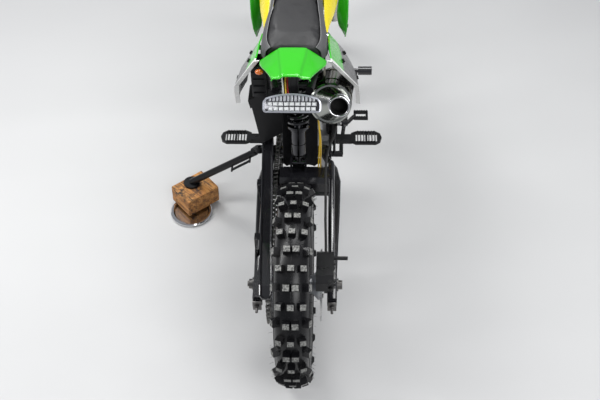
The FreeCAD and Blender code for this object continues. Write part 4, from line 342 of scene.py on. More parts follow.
NODE_FINISH = {
    "tyre rubber": "rear_tyre front_tyre",
    "rim": "rear_rim front_rim",
    "hub": "rear_hub front_hub fork_crown",
    "steel": "rear_sprocket rear_disc front_disc",
    "dark steel": "chain rear_axle front_axle",
    # painted dark reflection in the shock body's colour
    "chrome with painted dark reflection": "shock_body",
    "gloss black": "swingarm chain_guard shock_spring kick_starter",
    "frame black": "frame_backbone frame_downtube frame_plates subframe foot_pegs side_stand "
                   "foot_controls handlebar rear_caliper",
    "cast metal": "engine_case engine_cylinder carburettor",
    "can": "silencer",
    "chrome": "exhaust_header",
    "fork": "fork_legs control_levers",
    "green": "rear_fender front_fender shrouds",
    "panel": "side_panels",
    "white": "number_plate",
    "yellow": "fuel_tank",
    "plastic": "airbox inner_fender",
    "seat": "seat",
    "lens": "tail_light",
    "soft rubber": "grips brake_hose",
    "wood": "stand_block",
    "dish": "block_dish",
}


def dress(piece, *names):
    piece.data.materials.clear()
    for name in names:
        piece.data.materials.append(FINISH[name].material)


def dress_nodes():
    for finish, names in NODE_FINISH.items():
        for name in names.split():
            dress(nodes[name], finish)


# Modelling calls

SIDES = ((-1, "left"), (1, "right"))
FACING = 0.9


def moved(x, y, z):
    return Matrix.Translation((x, y, z))


def sized(x, y, z):
    return Matrix.Diagonal((x, y, z, 1.0))


def turned_by(axis, degrees):
    return Matrix.Rotation(math.radians(degrees), 4, axis)


def aimed(at, toward):
    """Matrix that puts Z along a direction, at a point."""
    turn = Vector(toward).normalized().to_track_quat("Z", "Y").to_matrix().to_4x4()
    return Matrix.Translation(at) @ turn


def start(add, name, **size):
    """Adds one primitive in millimetres and names it, with nothing else selected."""
    bpy.ops.object.select_all(action="DESELECT")
    add(**size)
    piece = bpy.context.object
    piece.name = name
    piece.data.name = name
    bpy.ops.object.transform_apply(location=True, rotation=True, scale=True)
    return piece


def brick(name, sides, at=(0, 0, 0)):
    """A cube stretched to those sides, centred at a point."""
    piece = start(bpy.ops.mesh.primitive_cube_add, name, size=1.0)
    piece.data.transform(moved(*at) @ sized(*sides))
    return piece


def rod(name, vertices, radius, depth, **ends):
    """A round bar along Z, centred at the origin."""
    return start(bpy.ops.mesh.primitive_cylinder_add, name, vertices=vertices, radius=radius,
                 depth=depth, **ends)


def hoop(name, radius, thick, around, across, **turn):
    """A ring of round section."""
    return start(bpy.ops.mesh.primitive_torus_add, name, major_radius=radius, minor_radius=thick,
                 major_segments=around, minor_segments=across, **turn)


def pick(piece, wanted=lambda c: True, what="VERT"):
    """Selects the vertices, edges or faces of the piece that wanted() says yes to."""
    bpy.ops.object.mode_set(mode="EDIT")
    bpy.ops.mesh.select_mode(type=what)
    bpy.ops.mesh.select_all(action="DESELECT")
    bpy.ops.object.mode_set(mode="OBJECT")
    mesh = piece.data
    if what == "VERT":
        for v in mesh.vertices:
            v.select = wanted(v.co)
    elif what == "FACE":
        for p in mesh.polygons:
            p.select = wanted(p.center, p.normal)
    else:
        for e in mesh.edges:
            a, b = (mesh.vertices[i].co for i in e.vertices)
            e.select = wanted(a, b)
    bpy.ops.object.mode_set(mode="EDIT")


def done():
    bpy.ops.object.mode_set(mode="OBJECT")


def edit(piece, change, *wanted, **values):
    """One operator on the whole piece, or on what wanted picks."""
    pick(piece, *wanted)
    change(**values)
    done()


def only(piece):
    """Makes a piece the only one selected, and active."""
    bpy.ops.object.select_all(action="DESELECT")
    bpy.context.view_layer.objects.active = piece
    piece.select_set(True)


def pull(step):
    bpy.ops.mesh.extrude_region_move(TRANSFORM_OT_translate={"value": tuple(step)})


def framed(piece, way, *steps):
    """Insets the faces that look one way by each width, then pushes them out that way."""
    way = Vector(way)
    pick(piece, lambda c, n: n.dot(way) > FACING, "FACE")
    for width, push in steps:
        bpy.ops.mesh.inset(thickness=width, depth=0)
        if push:
            pull(way * push)
    done()


def modify(piece, kind, **values):
    only(piece)
    modifier = piece.modifiers.new(kind.lower(), kind)
    for name, value in values.items():
        setattr(modifier, name, value)
    bpy.ops.object.modifier_apply(modifier=modifier.name)
    return piece


def rounded(piece, width, segments=2):
    """Bevels the sharp edges alone."""
    return modify(piece, "BEVEL", width=width, segments=segments, limit_method="ANGLE")


def copy_of(piece, turn):
    """A copy with its own mesh, moved by a matrix."""
    twin = piece.copy()
    twin.data = piece.data.copy()
    twin.data.transform(turn)
    bpy.context.scene.collection.objects.link(twin)
    return twin


def joined(name, pieces):
    only(pieces[0])
    for p in pieces:
        p.select_set(True)
    piece = pieces[0]
    if len(pieces) > 1:
        bpy.ops.object.join()
    piece.name = name
    piece.data.name = name
    return piece


def drop(*pieces):
    for piece in pieces:
        bpy.data.objects.remove(piece)


def settle(piece, finish, smooth, body="chassis", place=None, replaces=()):
    """Dresses a piece drawn on the upright bike and moves it to its place and body."""
    if finish:
        dress(piece, finish)
    piece.data.transform((place or BIKE) @ Matrix.Scale(MM, 4))
    piece.data.update()
    only(piece)
    bpy.ops.object.shade_smooth_by_angle(angle=math.radians(smooth))
    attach(piece, body)
    if replaces:
        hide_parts(*replaces)


def along(table, share):
    """One row of a table, on a smooth line through its rows."""
    step = share * (len(table) - 1)
    here = min(int(step), len(table) - 2)
    t = step - here
    rows = [table[max(0, min(len(table) - 1, k))] for k in range(here - 1, here + 3)]
    return [0.5 * (2 * b + (c - a) * t + (2 * a - 5 * b + 4 * c - d) * t * t
                   + (3 * b - a - 3 * c + d) * t ** 3) for a, b, c, d in zip(*rows)]


def straight(table, share):
    """One row of a table, on straight lines between its rows."""
    step = share * (len(table) - 1)
    here = min(int(step), len(table) - 2)
    return [a + (b - a) * (step - here) for a, b in zip(table[here], table[here + 1])]


def sheet(name, columns, rows, place_of):
    """A grid of faces whose corners are moved to place_of(across, share), 0 to 1 each."""
    piece = start(bpy.ops.mesh.primitive_grid_add, name, x_subdivisions=columns,
                  y_subdivisions=rows, size=2)
    for v in piece.data.vertices:
        v.co = place_of((v.co.x + 1) / 2, (v.co.y + 1) / 2)
    piece.data.update()
    return piece


def outward(piece):
    edit(piece, bpy.ops.mesh.normals_make_consistent, inside=False)


def thickened(piece, thick, offset):
    """A sheet made a smooth shell."""
    modify(piece, "SOLIDIFY", thickness=thick, offset=offset)
    outward(piece)
    return modify(piece, "SUBSURF", levels=1, render_levels=1)


def plate(name, line, thick):
    """A flat plate in X and Y with that outline, thick upwards from Z = 0."""
    piece = start(bpy.ops.mesh.primitive_circle_add, name, vertices=len(line), radius=1.0,
                  fill_type="NGON")
    for v, (x, y) in zip(piece.data.vertices, line):
        v.co = (x, y, 0)
    edit(piece, pull, step=(0, 0, thick))
    outward(piece)
    return piece


def pipe(name, points, radius):
    """A round line through the points, on one smooth curve, made a mesh."""
    bpy.ops.object.select_all(action="DESELECT")
    bpy.ops.curve.primitive_nurbs_path_add()
    curve = bpy.context.object.data
    curve.splines.clear()
    spline = curve.splines.new("NURBS")
    spline.points.add(len(points) - 1)
    for knot, place in zip(spline.points, points):
        knot.co = (*place, 1.0)
    spline.order_u = 3
    spline.use_endpoint_u = True
    spline.resolution_u = 4
    curve.dimensions = "3D"
    curve.bevel_depth = radius
    curve.bevel_resolution = 1
    curve.use_fill_caps = True
    bpy.ops.object.convert(target="MESH")
    piece = bpy.context.object
    piece.name = name
    return piece


# Tyres: a carcass spun about its axle, with rows of tapered lugs

TREAD_ROWS = {
    # row: (sideways, top radius below the crown, lean, wide, long, high)
    "pair": [(-11.0, 0, -3, 20, 19, 17), (11.0, 0, 3, 20, 19, 17),
             (-46.5, 20, -60, 16, 21, 20), (46.5, 20, 60, 16, 21, 20)],
    "triple": [(0, 0, 0, 19.5, 18, 17), (-30, 4.5, -20, 19, 18, 18), (30, 4.5, 20, 19, 18, 18)],
}
LUG_RISE = 14
SIDE_LUG_WIDE = 9
BEAD_LAP = 3
CROWN_FLAT = 1.04
WALL_RINGS = ((31, 1.1), (34.5, 0.7))
WHEELS = {"rear_wheel": moved(0, 0, 268), "front_wheel": moved(0, 1230, 288)}
TYRES = [
    # name, solid, body, radius, half width, bead radius, pairs of rows, scale of the lugs
    ("rear_knobby_tyre", "rear_tyre", "rear_wheel", 268, 51, 178, 18, 1.0),
    ("front_knobby_tyre", "front_tyre", "front_wheel", 288, 41, 216, 16, 0.82),
]
HAIRS = [
    # name, body, radius, half width, count
    ("rear_vent_hairs", "rear_wheel", 240, 47, 110),
    ("front_vent_hairs", "front_wheel", 264, 38, 90),
]


def lug(wide, long, high):
    """One tread block, its top smaller than its foot, with a worn top face."""
    block = brick("lug", (wide, long, high), (0, 0, -high / 2))
    edit(block, bpy.ops.transform.resize, lambda c, n: n.z > FACING, "FACE",
         value=(0.88, 0.86, 1.0))
    edit(block, bpy.ops.mesh.bevel, lambda a, b: a.z > -0.5 and b.z > -0.5, "EDGE",
         offset=0.9, segments=1)
    dress(block, "tyre rubber", "worn tread")
    for face in block.data.polygons:
        face.material_index = 1 if face.normal.z > 0.95 else 0
    return block


def carcass(name, radius, half_wide, inner):
    """The tyre without its lugs: an oval section with a flattened crown, spun round."""
    middle = (radius + inner) / 2
    section = start(bpy.ops.mesh.primitive_circle_add, name, vertices=40, radius=1.0)
    section.data.transform(moved(0, 0, middle) @ sized(half_wide, 1.0, (radius - inner) / 2)
                           @ turned_by("X", 90))
    edit(section, bpy.ops.transform.resize, lambda c: c.z > middle, value=(CROWN_FLAT, 1.0, 1.0))
    edit(section, bpy.ops.mesh.spin, steps=120, angle=math.tau, center=(0, 0, 0), axis=(1, 0, 0))
    edit(section, bpy.ops.mesh.remove_doubles, threshold=0.01)
    outward(section)
    dress(section, "tyre rubber")
    return section


def wall_ring(name, radius, sideways, thick):
    loop = hoop(name, radius, thick, 120, 8, rotation=(0, math.pi / 2, 0))
    loop.data.transform(moved(sideways, 0, 0))
    dress(loop, "tyre rubber")
    return loop


def tyre(name, radius, half_wide, bead, pairs, scale):
    crown = radius - LUG_RISE * scale
    wide = half_wide - SIDE_LUG_WIDE * scale
    inner = bead - BEAD_LAP
    parts = [carcass(name, crown, wide, inner), wall_ring("seam", crown - 0.2, 0, 0.7)]
    for side in (-1, 1):
        for fall, thick in WALL_RINGS:
            ring_radius = crown - fall * scale
            rise = (ring_radius - (crown + inner) / 2) / ((crown - inner) / 2)
            across = wide * CROWN_FLAT * math.sqrt(1 - rise ** 2)
            parts.append(wall_ring("wall", ring_radius, side * across, thick))
    kinds = {}
    for index in range(2 * pairs):
        for side, fall, lean, *shape in TREAD_ROWS["triple" if index % 2 else "pair"]:
            key = tuple(shape)
            if key not in kinds:
                kinds[key] = lug(*(length * scale for length in shape))
            place = (turned_by("X", index * 180 / pairs)
                     @ moved(side * scale, 0, radius - fall * scale) @ turned_by("Y", lean))
            parts.append(copy_of(kinds[key], place))
    drop(*kinds.values())
    return joined(name, parts)


def tyres():
    for name, solid, body, *sizes in TYRES:
        piece = tyre(name, *sizes)
        piece.data.transform(WHEELS[body])
        settle(piece, None, 32, body, replaces=[solid])


def vent_hairs():
    """Thin moulding hairs on the shoulders of both tyres."""
    for name, body, radius, wide, count in HAIRS:
        chance = random.Random(count)
        hairs = []
        for k in range(count):
            side = 1 if k % 2 else -1
            hair = start(bpy.ops.mesh.primitive_cone_add, "hair", vertices=4, radius1=0.55,
                         radius2=0.15, depth=chance.uniform(6, 12))
            lean = chance.uniform(40, 85) * side
            hair.data.transform(turned_by("X", k * 360 / count + chance.uniform(-2, 2))
                                @ moved(side * wide, chance.uniform(-9, 9),
                                        radius + chance.uniform(-8, 6))
                                @ turned_by("Y", lean) @ moved(0, 0, 3))
            hairs.append(hair)
        piece = joined(name, hairs)
        piece.data.transform(WHEELS[body])
        settle(piece, "tyre rubber", 40, body)


# Mudguards and flap

# Rows: y, half width, half width of the raised middle, its height, height of the edge
TAIL = [
    (111.5, 43, 19, 866, 858), (118, 46, 20, 868.5, 860), (142, 54, 22, 867, 852),
    (165, 63, 25, 865, 845), (190, 73, 28, 862, 835), (210, 79, 30, 860, 826),
    (232, 80, 32, 857, 820), (237, 79, 32, 853, 815), (241, 76, 30, 822, 803),
    (246, 74, 28, 806, 794), (280, 76, 28, 801, 789), (330, 78, 28, 796, 784),
]
TAIL_END = 112.2
# Rows as above
NOSE = [
    (958, 43, 17, 701, 687.5), (1040, 59.5, 21, 731.5, 713), (1180, 67.5, 23, 743.5, 721),
    (1320, 63.5, 21, 723.5, 701), (1440, 49.5, 17, 685.5, 671), (1497, 28, 10.5, 662, 656),
]
# Rows: y, height, left edge, right edge
FLAP = [
    (386, 336, -38, 43), (387, 345, -46, 51), (390, 372, -47, 52), (408, 460, -47, 52),
    (426, 545, -46, 51), (457, 640, -42, 47), (459, 700, -40, 44),
]


def mudguard_point(row, across):
    """A place on the raised and creased section of a mudguard."""
    y, half, flat, crown, edge = row
    side = 1 if across >= 0.5 else -1
    out = abs(across - 0.5) * 2
    # Corners of half a section: share of the columns, x, z
    line = [(0.0, 0, crown + 0.8), (0.2, flat * 0.8, crown + 0.6), (0.27, flat - 0.6, crown),
            (0.34, flat + 1.0, crown - 1.4), (0.42, flat + 4.5, crown - 5.2),
            (0.5, flat + 7.5, crown - 6.2), (0.85, half - 3.0, edge + 2.0), (0.92, half - 0.8, edge),
            (1.0, half - 0.6, edge - 4.5)]
    for (near, x0, z0), (far, x1, z1) in zip(line, line[1:]):
        if out <= far + 1e-6:
            t = (out - near) / (far - near)
            return Vector((side * (x0 + (x1 - x0) * t), y, z0 + (z1 - z0) * t))


def rear_mudguard():
    """The tail's shell: raised middle, creases, sloping sides and a rolled rear lip."""
    shell = sheet("rear_mudguard", 40, 60,
                  lambda across, share: mudguard_point(straight(TAIL, share), across))
    for _ in range(2):
        edit(shell, bpy.ops.mesh.vertices_smooth, factor=0.35)
    pick(shell, lambda a, b: a.y < TAIL_END and b.y < TAIL_END, "EDGE")
    for step in ((0, 1.0, -3.0), (0, 2.5, -2.0)):
        bpy.ops.mesh.extrude_edges_move(TRANSFORM_OT_translate={"value": step})
    done()
    thickened(shell, 3.2, -1)
    settle(shell, "green", 50, replaces=["rear_fender"])


def front_mudguard():
    """Smooth skin over the front fender's solid."""
    skin = sheet("front_mudguard", 40, 60,
                 lambda across, share: mudguard_point(along(NOSE, share), across))
    edit(skin, bpy.ops.mesh.vertices_smooth, factor=0.3)
    thickened(skin, 1.2, -1)
    settle(skin, "green", 50, "steering")


def mud_flap():
    """Wide flap between the shock and the carburettor, bent back along both edges."""
    def place_of(across, share):
        y, height, left, right = FLAP[round(share * (len(FLAP) - 1))]
        return Vector((left + (right - left) * across, y - 8 * (2 * across - 1) ** 4, height))

    flap = sheet("mud_flap", 12, len(FLAP) - 1, place_of)
    modify(flap, "SOLIDIFY", thickness=2.5, offset=0)
    outward(flap)
    rounded(flap, 0.8)
    settle(flap, "plastic", 40)


# Seat

# Rows: y, half width at the base, half width at the top, base height, top height
SEAT = [
    (243, 66, 52, 815, 852), (275, 78, 62, 806, 857), (345, 77, 59, 800, 863),
    (430, 67, 52, 797, 866), (590, 60, 46, 806, 871), (667, 52, 36, 842, 887),
]
SEAT_SWELL = 5.0
SEAT_INSET = 2.5
SEAT_CROWN = 3.0
SHOULDER_UP = 0.62
CLOTH_FRAMES = 20
PIPING_STEPS = 24


def seat_section(share, up):
    """Half width and height at a share of the seat's length and of its height."""
    y, low_half, top_half, low, top = along(SEAT, share)
    shoulder = (low_half + top_half) / 2 + 3
    if up < SHOULDER_UP:
        half = low_half + (shoulder - low_half) * up / SHOULDER_UP
    else:
        past = (up - SHOULDER_UP) / (1 - SHOULDER_UP)
        half = shoulder + (top_half - 2 - shoulder) * past
    return y, half, low + (top - low) * up


def puffed(pad):
    """Blows the pad up with cloth pressure, by the seat's swell at most."""
    rest = [v.co.copy() for v in pad.data.vertices]
    cloth = pad.modifiers.new("cover", "CLOTH")
    cloth.settings.use_pressure = True
    cloth.settings.uniform_pressure_force = 4.0
    cloth.settings.effector_weights.gravity = 0.0
    cloth.settings.tension_stiffness = 25
    for frame_number in range(1, CLOTH_FRAMES + 1):
        bpy.context.scene.frame_set(frame_number)
    only(pad)
    bpy.ops.object.modifier_apply(modifier="cover")
    bpy.context.scene.frame_set(1)
    for v, was in zip(pad.data.vertices, rest):
        step = v.co - was
        if step.length > SEAT_SWELL * MM:
            v.co = was + step * (SEAT_SWELL * MM / step.length)


def seat_pad():
    """The foam under its cover, remeshed, puffed and smoothed."""
    pad = start(bpy.ops.mesh.primitive_cube_add, "seat_pad", size=2)
    edit(pad, bpy.ops.mesh.subdivide, number_cuts=11)
    for v in pad.data.vertices:
        across, length, height = v.co
        y, half, z = seat_section((length + 1) / 2, (height + 1) / 2)
        crown = SEAT_CROWN * (1 - across * across) * max(0, height)
        v.co = (across * (half - SEAT_INSET), y, z + crown - SEAT_INSET * (height > 0.9))
    pad.data.transform(Matrix.Scale(MM, 4))
    modify(pad, "REMESH", mode="VOXEL", voxel_size=0.0055)
    puffed(pad)
    modify(pad, "CORRECTIVE_SMOOTH", iterations=6, factor=0.5)
    modify(pad, "SUBSURF", levels=1, render_levels=1)
    pad.data.transform(Matrix.Scale(1 / MM, 4))
    settle(pad, "seat", 60, replaces=["seat"])


def seat_covers():
    """Grey side covers with a stitched edge, wrapped round the rear corners."""
    for side, label in SIDES:
        def place_of(across, share):
            y, half, z = seat_section(share, 0.04 + across * 0.86)
            lift = 2.6 if across < 0.95 else 1.2
            return Vector((side * (half + lift), y, z))

        cover = thickened(sheet(f"seat_cover_{label}", 10, 60, place_of), 1.4, 0)
        settle(cover, "seat side", 60)
        edge = [place_of(1.0, k / PIPING_STEPS) + Vector((-side * 0.6, 0, 1.0))
                for k in range(PIPING_STEPS + 1)]
        piping = pipe(f"seat_piping_{label}", edge, 0.9)
        settle(piping, "piping", 60)


# Tail lamp

# Puts the lamp's own plane, drawn in X and Y, at the tail
LAMP = BIKE @ Matrix(
    ((1, 0, 0, 0), (0, 0.622, -0.783, 106 * MM), (0, 0.783, 0.622, 766 * MM), (0, 0, 0, 1)))
# Half the lamp's flat foot and full shoulder, in its own plane
LAMP_SIDE = [(61, 0), (65.5, 2.5), (68, 8), (68, 20), (66.5, 27), (60, 35)]
LAMP_CELLS = 9
# Rows of cells: step between them, height
CELL_ROWS = ((12.4, 9.2), (12.8, 20.6))
LAMP_RIBS = 13
RIB_STEP = 8.4
RIB_FOOT = 26.5
ARCH_POINTS = 24


def lamp_outline():
    foot, top = LAMP_SIDE[-1]
    shares = [1 - 2 * k / ARCH_POINTS for k in range(1, ARCH_POINTS)]
    arch = [(foot * share, top + 10 * (1 - share ** 2)) for share in shares]
    return LAMP_SIDE + arch + [(-x, rise) for x, rise in reversed(LAMP_SIDE)]


def lamp_shell():
    """Silver bezel round a dark bowl, narrower behind, with its reflector sunk in."""
    shell = plate("lamp_shell", lamp_outline(), 22)
    shell.data.transform(moved(0, 0, -24))
    edit(shell, bpy.ops.transform.resize, lambda c, n: n.z < -FACING, "FACE",
         value=(0.72, 0.5, 1.0), center_override=(0, 20, -24))
    framed(shell, (0, 0, 1), (3.2, 3.0), (1.4, -7.5))
    rounded(shell, 0.7)
    dress(shell, "lamp bezel", "plastic", "reflector")
    for face in shell.data.polygons:
        if face.center.z < -3 and face.normal.z < 0.5:
            face.material_index = 1
        elif face.normal.z > FACING and face.center.z < -4:
            face.material_index = 2
    return shell


def tail_lamp():
    pieces = [lamp_shell()]
    for step, up in CELL_ROWS:
        for k in range(LAMP_CELLS):
            cell = brick("cell", (step - 2.0, 9, 4.0))
            edit(cell, bpy.ops.transform.resize, lambda c, n: n.z > FACING, "FACE",
                 value=(0.55, 0.55, 1.0), center_override=(0, 0, 2))
            framed(cell, (0, 0, 1), (0.8, 0.9))
            cell.data.transform(moved((k - (LAMP_CELLS - 1) / 2) * step, up, -4.2))
            dress(cell, "lamp cell")
            pieces.append(cell)
    for k in range(LAMP_RIBS):
        x = (k - (LAMP_RIBS - 1) / 2) * RIB_STEP
        top = 40.5 - 9 * (x / 60) ** 2
        rib = brick("rib", (5.6, top - RIB_FOOT, 4.4), (x, (RIB_FOOT + top) / 2, -3.4))
        rounded(rib, 0.9)
        dress(rib, "lens")
        pieces.append(rib)
    settle(joined("tail_lamp", pieces), None, 30, place=LAMP, replaces=["tail_light"])
    stay = brick("lamp_stay", (23, 12, 56), (4, 153, 818))
    framed(stay, (0, -1, 0), (4, -3))
    rounded(stay, 2.0)
    settle(stay, "plastic", 30)


# Chain

CHAIN_LINE = -64.5
LINKS = 90
LINK_POINTS = 20
LINK_THICK = 1.4
BIG, SMALL = 99.0, 28.0
SHAFT = Vector((0, 506, 335))
AXLE = Vector((0, 0, 268))
# Turns a shape drawn in X and Y so that it stands across the bike, its X forward
STAND_UP = Matrix(((0, 0, 1, 0), (1, 0, 0, 0), (0, 1, 0, 0), (0, 0, 0, 1)))


def chain_points(count):
    """The pins' places round both sprockets, evenly spaced."""
    span = SHAFT - AXLE
    tilt = math.atan2(span.z, span.y)
    spread = math.acos((BIG - SMALL) / span.length)
    back, nose = BIG * (math.tau - 2 * spread), SMALL * 2 * spread
    run = span.length * math.sin(spread)

    def off(centre, radius, angle):
        return centre + Vector((0, radius * math.cos(angle), radius * math.sin(angle)))

    points = []
    for k in range(count):
        far = (back + nose + 2 * run) * k / count
        if far <= back:
            points.append(off(AXLE, BIG, tilt + spread + far / BIG))
        elif far <= back + run:
            points.append(off(AXLE, BIG, tilt - spread).lerp(off(SHAFT, SMALL, tilt - spread),
                                                             (far - back) / run))
        elif far <= back + run + nose:
            points.append(off(SHAFT, SMALL, tilt - spread + (far - back - run) / SMALL))
        else:
            points.append(off(SHAFT, SMALL, tilt + spread).lerp(
                off(AXLE, BIG, tilt + spread), (far - back - run - nose) / run))
    return points


def link_plate(pitch, radius, waist):
    line = []
    for k in range(LINK_POINTS):
        x = (pitch / 2 + radius) * math.cos(math.tau * k / LINK_POINTS)
        beyond = abs(x) - pitch / 2
        if beyond > 0:
            y = math.sqrt(max(0.0, radius * radius - beyond * beyond))
        else:
            y = waist + (radius - waist) * (2 * x / pitch) ** 2
        line.append((x, y if k <= LINK_POINTS / 2 else -y))
    return plate("link", line, LINK_THICK)


def drive_chain():
    """Waisted links in two widths by turns, with a roller and a pin at each joint."""
    pins = chain_points(LINKS)
    side_plate = link_plate((pins[1] - pins[0]).length, 6.2, 4.3)
    roller = rod("roller", 10, 4.6, 9.4)
    pin = rod("pin", 8, 2.3, 14.6)
    pieces = []
    for k, (here, after) in enumerate(zip(pins, pins[1:] + pins[:1])):
        run = after - here
        turn = Matrix.Rotation(math.atan2(run.z, run.y), 4, "X") @ STAND_UP
        middle = (here + after) / 2
        out = 4.0 if k % 2 else 5.6
        for sideways in (-out, out):
            place = moved(CHAIN_LINE + sideways - LINK_THICK / 2, middle.y, middle.z) @ turn
            pieces.append(copy_of(side_plate, place))
        across = moved(CHAIN_LINE, here.y, here.z) @ turned_by("Y", 90)
        pieces += [copy_of(roller, across), copy_of(pin, across)]
    drop(side_plate, roller, pin)
    settle(joined("drive_chain", pieces), "chain metal", 30, replaces=["chain"])


def chain_adjusters():
    """Stud, plate and nut in the rear end of each arm."""
    for side, label in SIDES:
        end_of_arm = aimed((side * 96.5, -76, 268), (0, -1, 0))
        stud = rod("stud", 16, 3.6, 34)
        stud.data.transform(end_of_arm)
        nut = rounded(rod("nut", 6, 7.5, 7), 0.5, 1)
        nut.data.transform(end_of_arm)
        end = brick("plate", (23, 3, 34), (side * 96.5, -71.5, 268))
        rounded(end, 1.0)
        settle(joined(f"chain_adjuster_{label}", [stud, nut, end]), "dark steel", 30)


# Silencer's fittings

CAN_BACK, CAN_WAY = Vector((88, 275, 655)), Vector((-0.04, -0.905, 0.4225))
CAN_MOUTH = CAN_BACK + CAN_WAY * 34 + Vector((24, 0, 10))
STRAPS = (7, 178)
STRAP_RADIUS = 53.0
RIVETS = 14


def strap(gone):
    """A band round the can, so far ahead of its back end."""
    band = rod("strap", 64, STRAP_RADIUS, 12, end_fill_type="NOTHING")
    modify(band, "SOLIDIFY", thickness=1.2, offset=-1)
    rounded(band, 0.5)
    band.data.transform(aimed(CAN_BACK - CAN_WAY * gone, CAN_WAY))
    return band


def silencer_fittings():
    """Bore lining, rolled lip, straps and rivets of the silencer."""
    lining = rod("bore_lining", 48, 21.7, 44)
    framed(lining, (0, 0, 1), (0.8, -42))
    lining.data.transform(aimed(CAN_MOUTH + CAN_WAY * 4, CAN_WAY))
    settle(lining, "soot", 40)
    lip = hoop("tip_lip", 24.6, 2.3, 64, 10)
    lip.data.transform(aimed(CAN_MOUTH + CAN_WAY * 27, CAN_WAY))
    seam = hoop("cone_seam", 25.6, 1.3, 64, 8)
    seam.data.transform(aimed(CAN_MOUTH + CAN_WAY * 1.5, CAN_WAY))
    parts = [lip, seam] + [strap(gone) for gone in STRAPS]
    for gone in STRAPS:
        for k in range(RIVETS):
            rivet = start(bpy.ops.mesh.primitive_uv_sphere_add, "rivet", segments=10,
                          ring_count=6, radius=2.4)
            rivet.data.transform(aimed(CAN_BACK - CAN_WAY * gone, CAN_WAY)
                                 @ turned_by("Z", k * 360 / RIVETS)
                                 @ moved(STRAP_RADIUS, 0, 0) @ sized(0.5, 1, 1))
            parts.append(rivet)
    settle(joined("silencer_fittings", parts), "chrome", 40)


# Wood block under the stand

BLOCK_TURN = 42


def wood_block():
    """Sawn block with worn edges and uneven faces."""
    low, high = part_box("stand_block")
    middle = (Vector(low) + Vector(high)) / (2 * MM)
    tall = (high[2] - low[2]) / MM
    block = brick("wood_block", (119, 96, tall))
    rounded(block, 2.2)
    edit(block, bpy.ops.mesh.subdivide, number_cuts=5)
    chance = random.Random(5)
    for v in block.data.vertices:
        worn = 0.35 if abs(v.co.z) < tall / 2 - 3 else 0.2
        v.co.x += chance.uniform(-worn, worn)
        v.co.y += chance.uniform(-worn, worn)
    edit(block, bpy.ops.mesh.bisect, plane_co=(57, -45, tall / 2 - 2),
         plane_no=(0.6, -0.6, 0.55), use_fill=True, clear_outer=True)
    block.data.transform(Matrix.Translation(middle) @ turned_by("Z", BLOCK_TURN))
    settle(block, "wood", 25, place=Matrix(), replaces=["stand_block"])


# Screws, box, wires and small parts


def screw(radius):
    """Round socket head on its washer, standing on Z = 0."""
    head = rod("screw", 16, radius, radius * 0.8)
    head.data.transform(moved(0, 0, radius * 0.4 + 0.6))
    framed(head, (0, 0, 1), (radius * 0.16, 0), (radius * 0.3, -radius * 0.45))
    return joined("screw", [head, rod("washer", 16, radius * 1.45, 1.2)])


def ringed(x, y, z, radius, count, first=0.0):
    turns = [math.radians(first + 360 * k / count) for k in range(count)]
    return [(x, y + radius * math.cos(t), z + radius * math.sin(t)) for t in turns]


def both(*spots):
    return [(side * x, y, z) for side in (-1, 1) for x, y, z in spots]


OUTSIDE = 250
SCREWS = [
    # node, body, finish, radius, places outside it; the line goes inwards from the side,
    # or along the bike for places near its middle
    ("side_panels", "chassis", "black screw", 5.0,
     both((300, 345, 735), (300, 400, 640), (300, 440, 690))),
    ("shrouds", "chassis", "black screw", 5.0, both((300, 618, 792), (300, 655, 628))),
    ("engine_case", "chassis", "screw", 4.5,
     ringed(300, 600, 330, 66, 7) + ringed(-300, 640, 330, 62, 6)),
    ("rear_disc", "rear_wheel", "screw", 4.5, ringed(300, 0, 268, 34, 6, 15)),
    ("rear_sprocket", "rear_wheel", "screw", 4.5, ringed(-300, 0, 268, 42, 6, 30)),
    ("frame_plates", "chassis", "screw", 6.0, both((300, 470, 300))),
    ("airbox", "chassis", "black screw", 4.0, [(-300, 430, 450)]),
    ("rear_caliper", "chassis", "black screw", 5.0,
     [(300, -52, 350), (300, 4, 350), (92, -300, 352), (92, -300, 372)]),
    ("number_plate", "steering", "black screw", 5.0,
     [(-58, 1700, 900), (58, 1700, 900), (0, 1700, 800)]),
]


def screws():
    """Sets screws where lines through the upright bike meet the solids."""
    for node, body, finish, radius, spots in SCREWS:
        model = screw(radius)
        heads = []
        for x, y, z in spots:
            toward = Vector((-x, 0, 0) if abs(x) > OUTSIDE else (0, -y, 0)).normalized()
            _, place, normal, _ = nodes[node].ray_cast(bike(x, y, z), BIKE.to_3x3() @ toward)
            heads.append(copy_of(model, aimed(place / MM, normal)))
        drop(model)
        settle(joined(f"{node}_screws", heads), finish, 30, body, Matrix())


def wiring_box():
    """Black box with a ribbed lid behind the left side panel."""
    box = brick("wiring_box", (40, 54, 98), (-94, 345, 689))
    edit(box, bpy.ops.transform.translate, lambda c: c.y > 345 and c.x < -94, value=(9, 0, 0))
    framed(box, (0, -1, 0), (3, 3))
    rounded(box, 2.0)
    ribs = [rounded(brick("rib", (30, 4, 4), (-94, 314, 655 + 22 * k)), 1.0) for k in range(4)]
    settle(joined("wiring_box", [box] + ribs), "plastic", 30)


TOOTH_STEP = 6.33
# x of the blades across each peg
PEG_BLADES = (168, 177, 186, 201, 210, 219)


def peg_teeth():
    """Rows of saw-toothed blades across each peg."""
    saw = [(-19, 0)]
    for k in range(6):
        saw += [(-19 + k * TOOTH_STEP, 6.5), (-15.8 + k * TOOTH_STEP, 10.0)]
    saw += [(19, 6.5), (19, 0)]
    model = plate("blade", saw, 2.6)
    for side, label in SIDES:
        blades = [copy_of(model, moved(side * x - 1.3, 492, 344) @ STAND_UP) for x in PEG_BLADES]
        settle(joined(f"peg_teeth_{label}", blades), "frame black", 30)
    drop(model)


# Rows: y, x and z of the upper edge, x and z of the lower edge
WING = [
    (385, 75, 796, 78, 790), (440, 71, 812, 88, 784), (500, 71, 828, 98, 776),
    (560, 76, 842, 105, 770), (620, 88, 850, 111, 762), (664, 98, 852, 112, 756),
]
